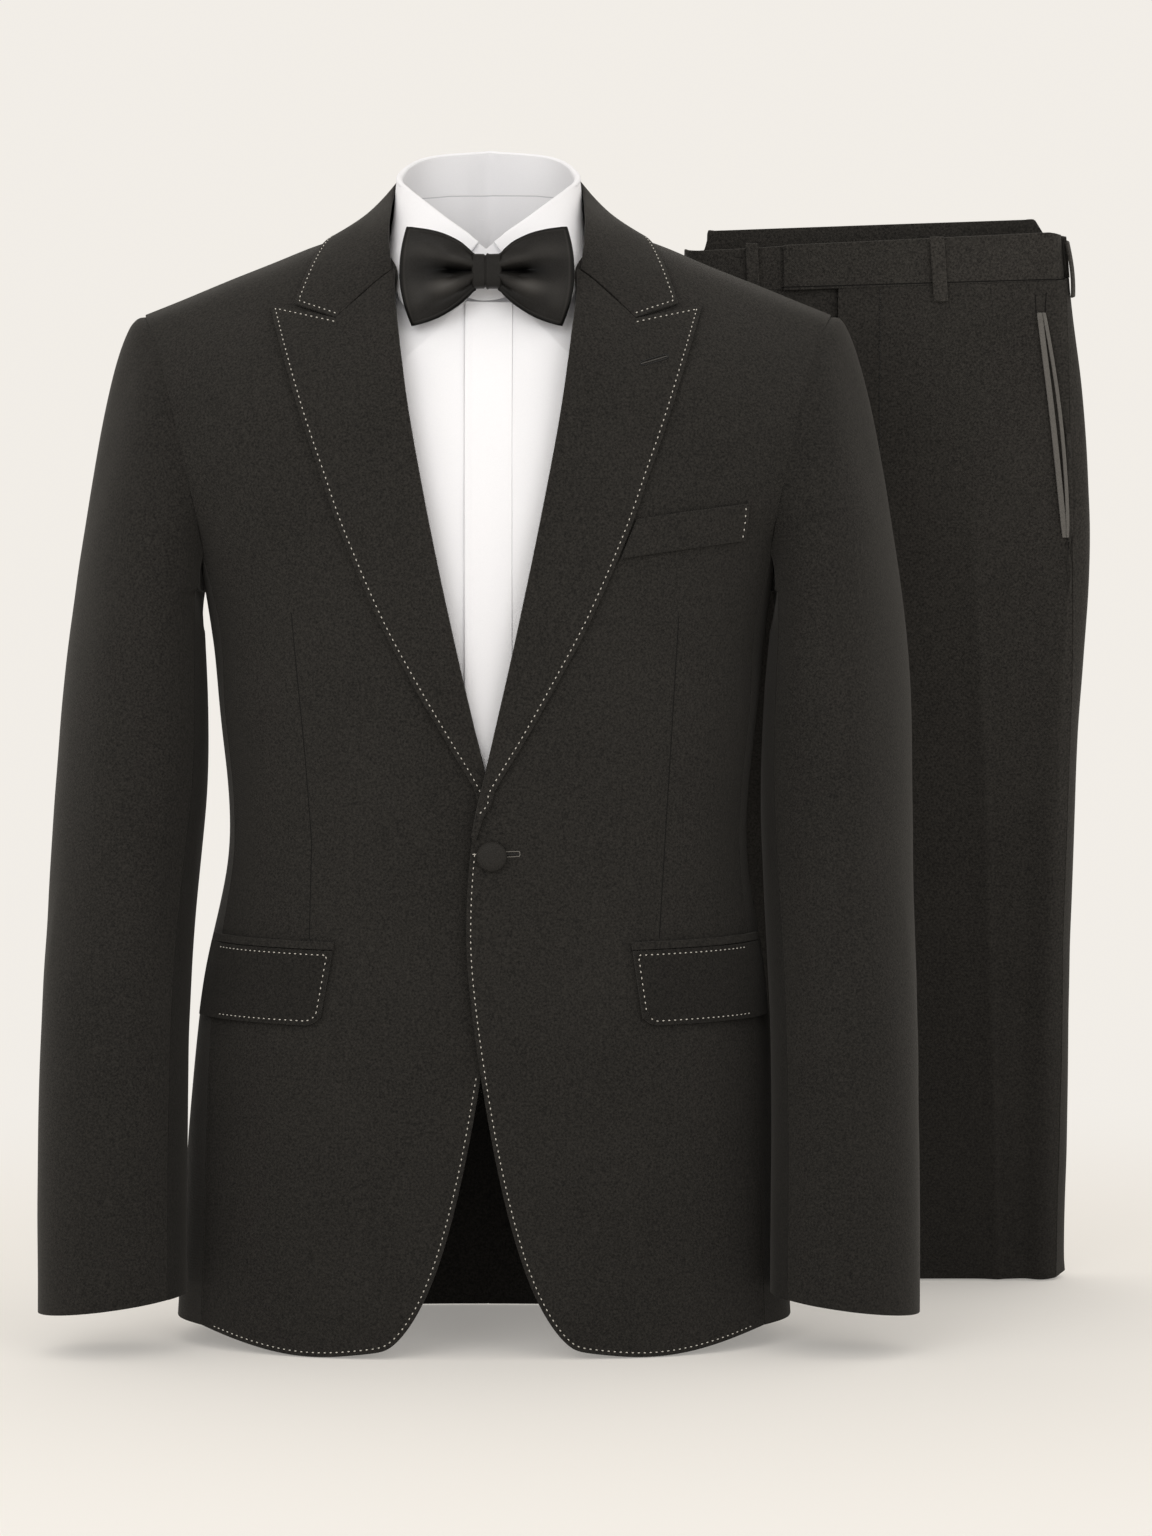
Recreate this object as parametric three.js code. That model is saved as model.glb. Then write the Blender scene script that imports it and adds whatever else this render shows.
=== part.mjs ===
import * as THREE from 'three';

// A dinner suit that stands as if worn by nobody: one-button jacket with peak lapels, the front and
// collar of a white shirt, a bow tie, and the trousers folded once across the legs and leant behind.
// Millimetres, X to the viewer's right, Y away from the viewer, Z up. The origin lies between the
// shoulders, at the height of the neck. Every cloth is a wall over a patch of a garment surface.

// Driving sizes
const wool = 2;                 // thickness of a jacket or trouser panel
const shirting = 1.5;
const seamGap = 0.3;
const backNeck = 25;            // height of the virtual ridge at the neck's middle
const hemZ = -759.7;
const floorZ = -760;
const breakZ = -433;            // where the lapel's roll starts, at the button
const shoulderX = 229;
const shoulderZ = -78;
const neckX = 80;
const armholeSeamZ = -238;      // where the front armhole meets the side seam
const armholeLowZ = -255;
const hemSeamZ = -746;
const bodyPower = 2.35;         // squareness of the body's sections
const roundDepth = 140;         // how far below the ridge the shoulder rounds off
const roundPower = 2.3;
const layerLift = 0.6;          // what lies on a panel is this clear of it

const finishes = {
  wool: { color: 0x2b2926, roughness: 0.9, metalness: 0 },
  satin: { color: 0x232220, roughness: 0.45, metalness: 0 },
  welt: { color: 0x77736c, roughness: 0.5, metalness: 0 },
  shirt: { color: 0xe9e8ec, roughness: 0.75, metalness: 0 },
};

// Short tables with named columns, read through smooth curves
function table(columns, rows) {
  const read = {};
  columns.slice(1).forEach((column, index) => {
    read[column] = (key) => readRow(rows, index + 1, key);
  });
  return read;
}

function slopeAt(rows, column, row) {
  const before = rows[Math.max(row - 1, 0)];
  const after = rows[Math.min(row + 1, rows.length - 1)];
  return (after[column] - before[column]) / (after[0] - before[0]);
}

function readRow(rows, column, key) {
  const up = rows[rows.length - 1][0] > rows[0][0] ? 1 : -1;
  if ((key - rows[0][0]) * up <= 0) return rows[0][column];
  const last = rows.length - 1;
  if ((key - rows[last][0]) * up >= 0) return rows[last][column];
  let row = 0;
  while ((key - rows[row + 1][0]) * up > 0) row += 1;
  const span = rows[row + 1][0] - rows[row][0];
  const t = (key - rows[row][0]) / span;
  const [a, b] = [rows[row][column], rows[row + 1][column]];
  const [sa, sb] = [slopeAt(rows, column, row) * span, slopeAt(rows, column, row + 1) * span];
  return a * (1 + 2 * t) * (1 - t) ** 2 + sa * t * (1 - t) ** 2
    + b * t * t * (3 - 2 * t) - sb * t * t * (1 - t);
}

const mix = (a, b, t) => a + (b - a) * t;
const clamp = (value, low = 0, high = 1) => Math.min(Math.max(value, low), high);
const ease = (t) => clamp(t) ** 2 * (3 - 2 * clamp(t));
const radians = (degrees) => degrees * Math.PI / 180;
const steps = (count) => Array.from({ length: count + 1 }, (_, index) => index / count);

// The worn jacket's sections, and the ridge from the neck to the shoulder point
const body = table(['z', 'half', 'front', 'back'], [
  [40, 253, 60, 80],
  [0, 253, 70, 93],
  [-50, 253, 86, 102],
  [-100, 253, 104, 112],
  [-130, 253, 112, 117],
  [-177, 238.5, 118, 121],
  [-214, 217, 121, 122],
  [-238, 200, 122, 122],
  [-255, 190.5, 122, 121],
  [-276, 187, 121, 119],
  [-300, 184, 119, 116],
  [-335, 181, 116, 112],
  [-368, 176, 114, 108],
  [-402, 173, 112, 104],
  [-435, 173, 111, 103],
  [-469, 177.5, 111, 107],
  [-509, 186, 112, 113],
  [-570, 193, 114, 118],
  [-650, 199.5, 115, 121],
  [-758, 206, 116, 122],
]);
const ridge = table(['x', 'z'], [
  [0, backNeck], [30, 18], [52, 6], [65, -6], [80, -18], [97, -25.5],
  [118, -33], [150, -46], [185, -60], [219, -74], [229, -78], [250, -87],
]);
const shirtRidge = table(['x', 'z'], [
  [0, 20], [30, 10], [45, -6], [52, -16], [58, -26], [65, -31], [80, -36.5],
  [97, -41], [118, -48], [150, -60], [185, -74], [215, -87], [250, -100],
]);
const armhole = table(['z', 'front', 'back'], [
  [-78, 229, 229],
  [-97, 219, 221],
  [-128, 209.7, 212],
  [-153, 203, 206],
  [-177, 198, 201],
  [-195, 194, 197.5],
  [-214, 190.6, 193.5],
  [-238, 186.5, 188],
]);
const lapelLines = table(['z', 'roll'], [
  [-52, 58], [-65, 58.7], [-106, 54.6], [-140, 50.2], [-179, 43.5], [-237, 32.2],
  [-301, 18.7], [-366, 3.9], [-402, -4.2], [-433, -11],
]);
const lapelOuter = table(['z', 'x'], [
  [-77.5, 140.3], [-103, 133], [-131, 124.5], [-158, 116], [-182, 107.5], [-217, 95.5],
  [-238, 87], [-282, 67.8], [-317, 49.5], [-355, 28.5], [-400, 2.5], [-424, -5.4],
]);
const frontEdge = table(['z', 'x'], [
  [-433, -11], [-450, -11.2], [-495, -9.5], [-540, -5.5], [-583, 0], [-617, 7], [-650, 13.5],
  [-675, 19.5], [-702, 28.5], [-720, 35.5], [-735, 43], [-745, 50.5], [-751, 57.5], [-756, 68],
]);

// The front leans a little to the viewer's right above the waist, and the sleeves to the left below
const bodyLean = (z) => 3 * ease((z + 583) / 217);
const sleeveLean = (z) => 5 * ease((z + 520) / 265) - 2;

// Body surface by angle around Z (0 at the side, 90 at the back, -90 at the front) and height
const jacketCut = { ridge, inset: 0 };
const shirtCut = { ridge: shirtRidge, inset: 10 };

function shoulderRound(drop) {
  return (1 - (1 - clamp(drop / roundDepth)) ** roundPower) ** (1 / roundPower);
}

function depthAt(z, isBack, cut) {
  return (isBack ? body.back(z) : body.front(z)) - cut.inset;
}

function bodyPoint(cut, angle, z) {
  const isBack = angle > 0;
  const half = body.half(z) - cut.inset;
  const [c, s] = [Math.cos(radians(angle)), Math.sin(radians(angle))];
  const depth = depthAt(z, isBack, cut);
  const reach = (Math.abs(c / half) ** bodyPower + Math.abs(s / depth) ** bodyPower) ** (-1 / bodyPower);
  const x = reach * c;
  const y = reach * s * shoulderRound(cut.ridge.z(Math.abs(x)) - z);
  return new THREE.Vector3(x, y, z);
}

function angleAt(cut, x, z, isBack) {
  const half = body.half(z) - cut.inset;
  const flat = (1 - clamp(Math.abs(x) / half, 0, 0.99999) ** bodyPower) ** (1 / bodyPower);
  const angle = Math.atan2(depthAt(z, isBack, cut) * flat, x) * 180 / Math.PI;
  return isBack ? angle : -angle;
}

function bodyNormal(cut, angle, z, depthOf = () => 0) {
  const at = (a, h) => {
    const point = bodyPoint(cut, a, h);
    point.y += depthOf(point.x, h);
    return point;
  };
  const around = at(angle + 0.2, z).sub(at(angle - 0.2, z));
  const upward = at(angle, z + 0.4).sub(at(angle, z - 0.4));
  return around.cross(upward).normalize();
}

// The height at which the surface passes a given place in plan, at or below the ridge
function heightAt(cut, x, y) {
  const isBack = y > 0;
  let [low, high] = [-240, cut.ridge.z(Math.abs(x))];
  for (let turn = 0; turn < 30; turn += 1) {
    const z = (low + high) / 2;
    const angle = angleAt(cut, x, z, isBack);
    if (Math.abs(bodyPoint(cut, angle, z).y) < Math.abs(y)) high = z;
    else low = z;
  }
  return high;
}

// Closed walls over a grid of outer points, a thickness deep along the normals
function wallMesh(name, finish, outer, inner, loop = false) {
  const rows = outer.length;
  const columns = outer[0].length;
  const points = [...outer.flat(), ...inner.flat()];
  const faces = [];
  const at = (layer, row, column) => layer * rows * columns + row * columns + column % columns;
  const quad = (a, b, c, d) => {
    const shortFirst = points[a].distanceTo(points[c]) <= points[b].distanceTo(points[d]);
    if (shortFirst) faces.push(a, b, c, a, c, d);
    else faces.push(a, b, d, b, c, d);
  };
  const spans = loop ? columns : columns - 1;
  for (let row = 0; row < rows - 1; row += 1) {
    for (let column = 0; column < spans; column += 1) {
      quad(at(0, row, column), at(0, row, column + 1), at(0, row + 1, column + 1), at(0, row + 1, column));
      quad(at(1, row, column), at(1, row + 1, column), at(1, row + 1, column + 1), at(1, row, column + 1));
    }
    if (!loop) {
      quad(at(0, row, 0), at(0, row + 1, 0), at(1, row + 1, 0), at(1, row, 0));
      const end = columns - 1;
      quad(at(0, row + 1, end), at(0, row, end), at(1, row, end), at(1, row + 1, end));
    }
  }
  for (let column = 0; column < spans; column += 1) {
    const end = rows - 1;
    quad(at(0, 0, column + 1), at(0, 0, column), at(1, 0, column), at(1, 0, column + 1));
    quad(at(0, end, column), at(0, end, column + 1), at(1, end, column + 1), at(1, end, column));
  }
  return solidMesh(name, finish, points, faces);
}

function solidMesh(name, finish, points, faces) {
  let volume = 0;
  for (let index = 0; index < faces.length; index += 3) {
    const [a, b, c] = [points[faces[index]], points[faces[index + 1]], points[faces[index + 2]]];
    volume += a.dot(new THREE.Vector3().crossVectors(b, c));
  }
  const turned = volume < 0 ? [...faces].reverse() : faces;
  const geometry = new THREE.BufferGeometry();
  const positions = points.flatMap((point) => [point.x, point.y, point.z]);
  geometry.setAttribute('position', new THREE.Float32BufferAttribute(positions, 3));
  geometry.setIndex(turned);
  geometry.computeVertexNormals();
  const mesh = new THREE.Mesh(geometry, new THREE.MeshStandardMaterial(finishes[finish]));
  mesh.name = name;
  return mesh;
}

// A wall from any smooth surface at(row, column), both from 0 to 1
function surfaceWall({ name, finish, at, columns, rows, thickness, loop = false, outside = 1, lift = 0 }) {
  const step = 0.004;
  const grid = rows.map((v) => (loop ? columns.slice(0, -1) : columns).map((u) => {
    const across = at(v, u + step).sub(at(v, u - step));
    const along = at(clamp(v + step), u).sub(at(clamp(v - step), u));
    const normal = across.cross(along).normalize().multiplyScalar(outside);
    return { point: at(v, u), normal };
  }));
  const face = (depth) => grid.map((row) => row.map((cell) => (
    cell.point.clone().addScaledVector(cell.normal, depth))));
  return wallMesh(name, finish, face(lift), face(lift - thickness), loop);
}

// A panel's patch: four edges of [angle, z], blended over the surface
function patch(top, bottom, left, right) {
  const [lastColumn, lastRow] = [top.length - 1, left.length - 1];
  return left.map((_, row) => top.map((__, column) => {
    const [u, v] = [column / lastColumn, row / lastRow];
    return [0, 1].map((k) => mix(top[column][k], bottom[column][k], v)
      + mix(left[row][k], right[row][k], u)
      - mix(mix(top[0][k], top[lastColumn][k], u), mix(bottom[0][k], bottom[lastColumn][k], u), v));
  }));
}

function place(point, side, lean = bodyLean) {
  return new THREE.Vector3(side * point.x + lean(point.z), point.y, point.z);
}

// Lays a patch of [angle, z] on a cut of the body; side is 1 for the viewer's right, -1 for the left
function layPatch({
  name, finish, cut, cells, side, thickness, lift = 0, depthOf = () => 0, puff = () => 0,
}) {
  const face = (depth) => cells.map((row, rowIndex) => row.map(([angle, z], columnIndex) => {
    const point = bodyPoint(cut, angle, z);
    point.y += depthOf(point.x, z);
    const normal = bodyNormal(cut, angle, z, depthOf);
    const onRidge = cut.ridge.z(Math.abs(point.x)) - z < 0.05;
    if (onRidge) {
      point.y = Math.sign(angle) * seamGap / 2;
      normal.setY(0).normalize();
    }
    const bulge = puff(rowIndex / (cells.length - 1), columnIndex / (row.length - 1));
    return place(point.addScaledVector(normal, depth + bulge), side);
  }));
  return wallMesh(name, finish, face(lift + thickness * (lift > 0)), face(lift - thickness * (lift <= 0)));
}

// The wearer's right front lies under the other: it sinks in where lapels and fronts overlap
function underDepth(x, z) {
  const band = ease((-310 - z) / 62) * ease((z + 665) / 90);
  return 6.4 * ease((54 - x) / 44) * band;
}
const depthFor = (side) => (side < 0 ? underDepth : () => 0);

// Rows down a panel's seam: closer together at the top of the shoulder
const armholeRows = 9;
const seamRows = 10;
function seamLevels() {
  const upper = steps(armholeRows).map((t) => mix(shoulderZ, armholeSeamZ, t ** 1.5));
  const lower = steps(seamRows).slice(1).map((t) => mix(armholeSeamZ, hemSeamZ, t));
  return [...upper, ...lower];
}
const levels = seamLevels();
const downShare = (z) => (shoulderZ - z) / (shoulderZ - hemSeamZ);

const frontSeamAngle = table(['z', 'angle'], [
  [-238, -15.5], [-300, -14], [-402, -12.4], [-489, -13.6], [-580, -16], [-675, -17.4], [-758, -18],
]);
const backSeamAngle = table(['z', 'angle'], [
  [-238, 17.5], [-300, 20], [-402, 23], [-489, 22], [-580, 21], [-758, 21],
]);
const gapAngle = 0.05;

function shoulderColumns(count, isBack) {
  return steps(count).map((t) => {
    const x = mix(shoulderX, neckX, t);
    const z = ridge.z(x);
    return [angleAt(jacketCut, x, z, isBack), z];
  });
}

function armholeEdge(isBack) {
  const seam = isBack ? backSeamAngle : frontSeamAngle;
  return levels.map((z) => {
    if (z < armholeSeamZ + 0.01) return [seam.angle(z) + (isBack ? gapAngle : -gapAngle), z];
    const x = isBack ? armhole.back(z) : armhole.front(z);
    return [angleAt(jacketCut, x, z, isBack), z];
  });
}

// Fronts: shoulder, armhole and side seam, hem, and the neck, roll and front edge on the inner side
const frontColumns = 8;
const hemDip = 8;               // how far the hem bows down between side seam and front edge
const edgeRecess = 0.8;
const crowdFrom = 0.72;         // share of the way down from which the front edge's rows lie closer
const rowCrowding = 2.5;
function crowded(share) {
  if (share < crowdFrom) return share;
  const t = (share - crowdFrom) / (1 - crowdFrom);
  return mix(crowdFrom, 1, 1 - clamp(1 - t) ** rowCrowding);
}
function frontInnerX(z) {
  if (z > -52) return mix(58, neckX, ease((z + 52) / 34) ** 0.8) + edgeRecess * ease((-18 - z) / 8);
  if (z > breakZ) return lapelLines.roll(z) + edgeRecess;
  return frontEdge.x(z) + edgeRecess * ease((z - breakZ + 20) / 20);
}

function jacketFront(side) {
  const [topZ, lowZ] = [ridge.z(neckX), -756];
  const inner = levels.map((z) => {
    const height = mix(topZ, lowZ, crowded(downShare(z)));
    return [angleAt(jacketCut, frontInnerX(height), height, false), height];
  });
  const outer = armholeEdge(false);
  const last = levels.length - 1;
  const bottom = steps(frontColumns).map((t) => {
    const x = mix(bodyPoint(jacketCut, outer[last][0], hemSeamZ).x, frontEdge.x(lowZ), t);
    const z = mix(hemSeamZ, lowZ, t) - hemDip * Math.sin(Math.PI * t ** 1.1);
    return [angleAt(jacketCut, x, z, false), z];
  });
  bottom[0] = outer[last];
  bottom[frontColumns] = inner[last];
  const cells = patch(shoulderColumns(frontColumns, false), bottom, outer, inner);
  return layPatch({
    name: side > 0 ? 'jacket_front_over' : 'jacket_front_under',
    finish: 'wool', cut: jacketCut, cells, side, thickness: wool, depthOf: depthFor(side),
  });
}

// Side panels close the body under the arm
function jacketSide(side) {
  const rows = levels.filter((z) => z <= armholeSeamZ + 0.01);
  const columns = steps(4);
  const front = rows.map((z) => [frontSeamAngle.angle(z) + gapAngle, z]);
  const back = rows.map((z) => [backSeamAngle.angle(z) - gapAngle, z]);
  const edge = (first, last, dip) => columns.map((t) => [
    mix(first[0], last[0], t), mix(first[1], last[1], t) - dip * Math.sin(Math.PI * t) ** 0.8,
  ]);
  const end = rows.length - 1;
  const top = edge(front[0], back[0], armholeSeamZ - armholeLowZ);
  const bottom = edge(front[end], back[end], 0);
  return layPatch({
    name: side > 0 ? 'jacket_side_right' : 'jacket_side_left',
    finish: 'wool', cut: jacketCut, cells: patch(top, bottom, front, back), side, thickness: wool,
  });
}

// Backs meet at the centre seam, with the neck cut out at the top
const neckColumns = 3;
const shoulderSpan = 6;
const backNeckPlan = table(['t', 'x', 'y'], [
  [0, 80, 0], [0.25, 70, 32], [0.5, 52, 53], [0.75, 28, 66], [1, 0, 71],
]);
function jacketBack(side) {
  const outer = armholeEdge(true);
  const end = levels.length - 1;
  const neck = steps(neckColumns).slice(1).map((t) => {
    const [x, y] = [backNeckPlan.x(t), backNeckPlan.y(t)];
    const z = heightAt(jacketCut, x, y);
    return [angleAt(jacketCut, x + 0.01, z, true), z];
  });
  const top = [...shoulderColumns(shoulderSpan, true), ...neck];
  const middle = top.length - 1;
  top[middle] = [90 - gapAngle, top[middle][1]];
  const inner = levels.map((z) => [90 - gapAngle, mix(top[middle][1], hemZ, downShare(z))]);
  const bottom = steps(middle).map((t) => (
    [mix(outer[end][0], 90 - gapAngle, t), mix(hemSeamZ, hemZ, ease(t * 1.6))]));
  return layPatch({
    name: side > 0 ? 'jacket_back_right' : 'jacket_back_left',
    finish: 'wool', cut: jacketCut, cells: patch(top, bottom, outer, inner), side, thickness: wool,
  });
}

// Peak lapels lie on the fronts; their top edge dips from the gorge to the notch and rises to the peak
const notchShare = 0.47;
const notchDip = 21.6;
const lapelColumns = [0, 0.12, 0.24, 0.36, notchShare, 0.6, 0.74, 0.87, 1];
const lapelRows = 14;
const rollSpan = [-56.5, -422];   // heights of the roll line's ends
const edgeSpan = [-77.5, -424];   // heights of the outer edge's ends, the peak first
const rollPuff = 2.2;           // how far the lapel stands off at its roll
function dip(u, fade, notch) {
  const share = u < notch ? (u / notch) ** 1.25 : (1 - u) / (1 - notch);
  return notchDip * share * fade;
}

function lapel(side) {
  const cells = steps(lapelRows).map((t) => {
    const share = t ** 1.1;
    const rollZ = mix(...rollSpan, share);
    const edgeZ = mix(...edgeSpan, share);
    const fade = clamp(1 - share / 0.25) ** 1.3;
    return lapelColumns.map((u) => {
      const x = mix(lapelLines.roll(rollZ), lapelOuter.x(edgeZ), u);
      const z = mix(rollZ, edgeZ, u) - dip(u, fade, notchShare);
      return [angleAt(jacketCut, x, z, false), z];
    });
  });
  const puff = (v, u) => rollPuff * Math.exp(-((u / 0.16) ** 2)) * clamp((0.96 - v) / 0.3);
  return layPatch({
    name: side > 0 ? 'lapel_over' : 'lapel_under', finish: 'wool', cut: jacketCut, cells, side,
    thickness: wool, lift: side < 0 ? 1.3 : layerLift, depthOf: depthFor(side), puff,
  });
}

// Collar: a leaf from the roll line to its outer edge over a stand that rises from the neck seam
const rollLine = table(['w', 'x', 'y', 'z'], [
  [0, 61, -70, -55.5], [0.2, 63.8, -53, -31], [0.3, 64.3, -34, -15], [0.4, 64.3, -9, -2],
  [0.55, 61.8, 20, 13], [0.75, 45, 57, 20.5], [1, 0, 79, 22],
]);
const leafEdge = table(['w', 'x', 'y'], [
  [0, 124, -64], [0.2, 112, -38], [0.38, 98, 0], [0.55, 84, 38], [0.75, 52, 72], [1, 0, 85],
]);
const neckSeam = table(['w', 'x', 'y'], [
  [0.12, 64, -56], [0.2, 70.5, -42], [0.38, 80.5, 0], [0.55, 73, 29], [0.75, 50, 56], [1, 0, 72.5],
]);

const leafLift = wool + 0.6;
const leafNotch = 0.56;         // share of the leaf's front edge at which it turns up to its corner
const leafDrop = 6.5;           // how far the leaf's front corner hangs below its own edge line
function surfacePoint(cut, x, y, lift) {
  const z = heightAt(cut, x, y);
  const angle = angleAt(cut, x, z - 0.01, y > 0);
  const point = bodyPoint(cut, angle, z - 0.01);
  return point.addScaledVector(bodyNormal(cut, angle, z - 0.5), lift);
}

function leafPoint(v, u) {
  const w = 1 - Math.abs(u);
  const side = u < 0 ? -1 : 1;
  const roll = new THREE.Vector3(rollLine.x(w), rollLine.y(w), rollLine.z(w));
  const edge = surfacePoint(jacketCut, leafEdge.x(w), leafEdge.y(w), leafLift);
  const point = roll.lerp(edge, v);
  const fade = clamp(1 - w / 0.3) ** 1.3;
  point.z -= dip(v, fade, leafNotch) * 0.92 + (leafDrop * v - 0.5) * fade;
  const arch = 4 * v * (1 - v);
  const onFront = 1 - ease((w - 0.18) / 0.2);
  if (onFront > 0) {
    const angle = angleAt(jacketCut, point.x, point.z, false);
    const laid = bodyPoint(jacketCut, angle, point.z);
    laid.addScaledVector(bodyNormal(jacketCut, angle, point.z), leafLift + 1.2 * arch * ease(w / 0.1));
    point.lerp(laid, onFront);
  }
  point.z += 2.2 * arch * (1 - onFront);
  point.y += 1.5 * arch * ease((w - 0.5) / 0.2);
  return place(point, side);
}

function collarLeaf() {
  return surfaceWall({
    name: 'collar_leaf', finish: 'wool', thickness: wool, outside: 1,
    columns: steps(24).map((t) => t * 2 - 1),
    rows: [0, 0.12, 0.28, 0.42, leafNotch, 0.7, 0.85, 1],
    at: (v, u) => leafPoint(v, clamp(u, -1, 1)),
  });
}

function collarStand() {
  return surfaceWall({
    name: 'collar_stand', finish: 'wool', thickness: 1.2, outside: 1,
    columns: steps(18).map((t) => (t * 2 - 1) * 0.8),
    rows: steps(2),
    at: (v, u) => {
      const w = 1 - clamp(Math.abs(u), 0, 0.87);
      const seam = surfacePoint(jacketCut, neckSeam.x(w), neckSeam.y(w), 0);
      seam.z += 0.7;
      const roll = new THREE.Vector3(rollLine.x(w), rollLine.y(w), 0);
      roll.setLength(roll.length() - 3.4 * ease((w - 0.6) / 0.25)).setZ(rollLine.z(w) - 7.5);
      return place(seam.lerp(roll, v), u < 0 ? -1 : 1);
    },
  });
}

// Flap pockets, their jets, and the breast welt, all moved out from the panels
const keepShare = (share) => share;
function strip({ name, side, corners, columns, rows, thickness, lift = layerLift, bend = keepShare }) {
  const [topIn, topOut, lowIn, lowOut] = corners;
  const cells = rows.map((row) => columns.map((column) => {
    const [u, v] = bend([column, row]);
    return [0, 1].map((k) => mix(mix(topIn[k], topOut[k], u), mix(lowIn[k], lowOut[k], u), v));
  }));
  return layPatch({ name, finish: 'wool', cut: jacketCut, cells, side, thickness, lift });
}
const onFront = (x, z) => [angleAt(jacketCut, x, z, false), z];

// A flap's lower inner corner is rounded: the square there is drawn in to a quarter circle
const flapThickness = 2.4;
const flapEnd = -10.4;          // angle of the flaps' outer end, round the side
const cornerWide = 0.1;         // the rounded corner's shares of the flap's width and height
const cornerHigh = 0.19;
function roundCorner([u, v]) {
  const p = clamp(1 - u / cornerWide);
  const q = clamp(1 - (1 - v) / cornerHigh);
  if (p === 0 || q === 0) return [u, v];
  return [
    cornerWide * (1 - p * Math.sqrt(1 - q * q / 2)),
    1 - cornerHigh * (1 - q * Math.sqrt(1 - p * p / 2)),
  ];
}

function pocket(side) {
  const hand = side > 0 ? 'right' : 'left';
  const columns = [0, 0.035, 0.07, 0.1, 0.2, 0.32, 0.44, 0.57, 0.7, 0.85, 1];
  const shared = { side, columns, thickness: flapThickness };
  const jet = [onFront(96, -491), [flapEnd, -489], onFront(96.6, -495.8), [flapEnd, -493.8]];
  const flap = [onFront(97, -496.6), [flapEnd, -494.6], onFront(105, -545), [flapEnd + 0.4, -543]];
  return [
    strip({ ...shared, name: `pocket_jet_${hand}`, corners: jet, rows: steps(1) }),
    strip({
      ...shared, name: `pocket_flap_${hand}`, corners: flap, rows: [0, 0.4, 0.81, 0.87, 0.94, 1],
      bend: roundCorner,
    }),
  ];
}

function breastWelt() {
  const top = [onFront(97.4, -217.4), onFront(170.5, -206.6)];
  const low = [onFront(87, -242.6), onFront(168, -230.2)];
  return strip({
    name: 'breast_welt', side: 1, corners: [...top, ...low], columns: steps(6), rows: steps(2),
    thickness: wool, lift: 1,
  });
}

// Button: a domed disc with a short shank side, on the over front
const buttonSize = { radius: 10.2, height: 5.6, x: 5, z: -434.5 };
function button() {
  const profile = [
    [0, 0], [6.5, 0], [9.4, 0.9], [10.2, 2.2], [9.6, 3.6], [7.4, 4.8], [4, 5.4], [0, 5.6],
  ].map(([r, h]) => new THREE.Vector2(r / 10.2 * buttonSize.radius, h / 5.6 * buttonSize.height));
  const geometry = new THREE.LatheGeometry(profile, 20);
  const mesh = new THREE.Mesh(geometry, new THREE.MeshStandardMaterial(finishes.satin));
  mesh.name = 'button';
  mesh.rotation.x = Math.PI;
  const { x, z } = buttonSize;
  mesh.position.set(x + bodyLean(z), -body.front(z) - seamGap, z);
  return mesh;
}

// Sleeves: ribs run from the armhole to the cuff, 0 at the outer side, 90 in front, 180 inside
const sleeveSections = table(['z', 'outer', 'inner', 'y', 'depth', 'skew'], [
  [-300, 280.5, 187.4, -8, 75, 0.13],
  [-335, 283, 184.5, -10, 73, 0.12],
  [-402, 286.7, 185.4, -13, 69, 0.08],
  [-469, 288.2, 188.6, -25, 64, 0.05],
  [-520, 288.8, 190.8, -42, 60, 0.03],
  [-570, 289, 192, -55, 56, 0.02],
  [-650, 289, 191.8, -68, 51, 0],
  [-740, 288.8, 191, -77, 45, 0],
]);
const capZ = -300;
const cuffZ = -728;
const cuffSlant = 6.2;
const foreSeam = 143;
const hindSeam = 232;

function sleeveSection(phi, z) {
  const centre = (sleeveSections.outer(z) + sleeveSections.inner(z)) / 2;
  const half = (sleeveSections.outer(z) - sleeveSections.inner(z)) / 2;
  const y = -sleeveSections.depth(z) * Math.sin(radians(phi));
  const x = centre + half * Math.cos(radians(phi)) + sleeveSections.skew(z) * y * 0.9;
  return new THREE.Vector3(x, sleeveSections.y(z) + y, z);
}

// The armhole's loop as [angle, z] cells, then sampled by the sleeve's own angle
function armholeLoop() {
  const upper = levels.filter((z) => z >= armholeSeamZ - 0.01);
  const front = upper.map((z) => [angleAt(jacketCut, armhole.front(z), z, false), z]);
  const back = upper.map((z) => [angleAt(jacketCut, armhole.back(z), z, true), z]).reverse();
  const low = steps(8).slice(1, -1).map((t) => [
    mix(frontSeamAngle.angle(armholeSeamZ), backSeamAngle.angle(armholeSeamZ), t),
    armholeSeamZ - (armholeSeamZ - armholeLowZ) * Math.sin(Math.PI * t) ** 0.8,
  ]);
  return [...front, ...low, ...back];
}

const armholeCentre = new THREE.Vector3(218, 0, -168);
const armholeCells = armholeLoop().map(([angle, z]) => {
  const point = bodyPoint(jacketCut, angle, z);
  const normal = bodyNormal(jacketCut, angle, z - 0.5);
  if (z > shoulderZ - 0.5) {
    point.y = 0;
    normal.setY(0).normalize();
  }
  const away = armholeCentre.clone().sub(point);
  away.addScaledVector(normal, -away.dot(normal)).normalize();
  const start = point.clone().addScaledVector(normal, 0.45).addScaledVector(away, 0.8);
  const turn = Math.atan2(-point.y, point.z - armholeCentre.z) * 180 / Math.PI;
  return { start, turn: (turn + 360) % 360 };
});
armholeCells[0].turn = 0;
armholeCells[armholeCells.length - 1].turn = 360;

function armholeStart(phi) {
  let index = 0;
  while (index < armholeCells.length - 2 && armholeCells[index + 1].turn < phi) index += 1;
  const [a, b] = [armholeCells[index], armholeCells[index + 1]];
  return a.start.clone().lerp(b.start, clamp((phi - a.turn) / (b.turn - a.turn)));
}

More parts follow.
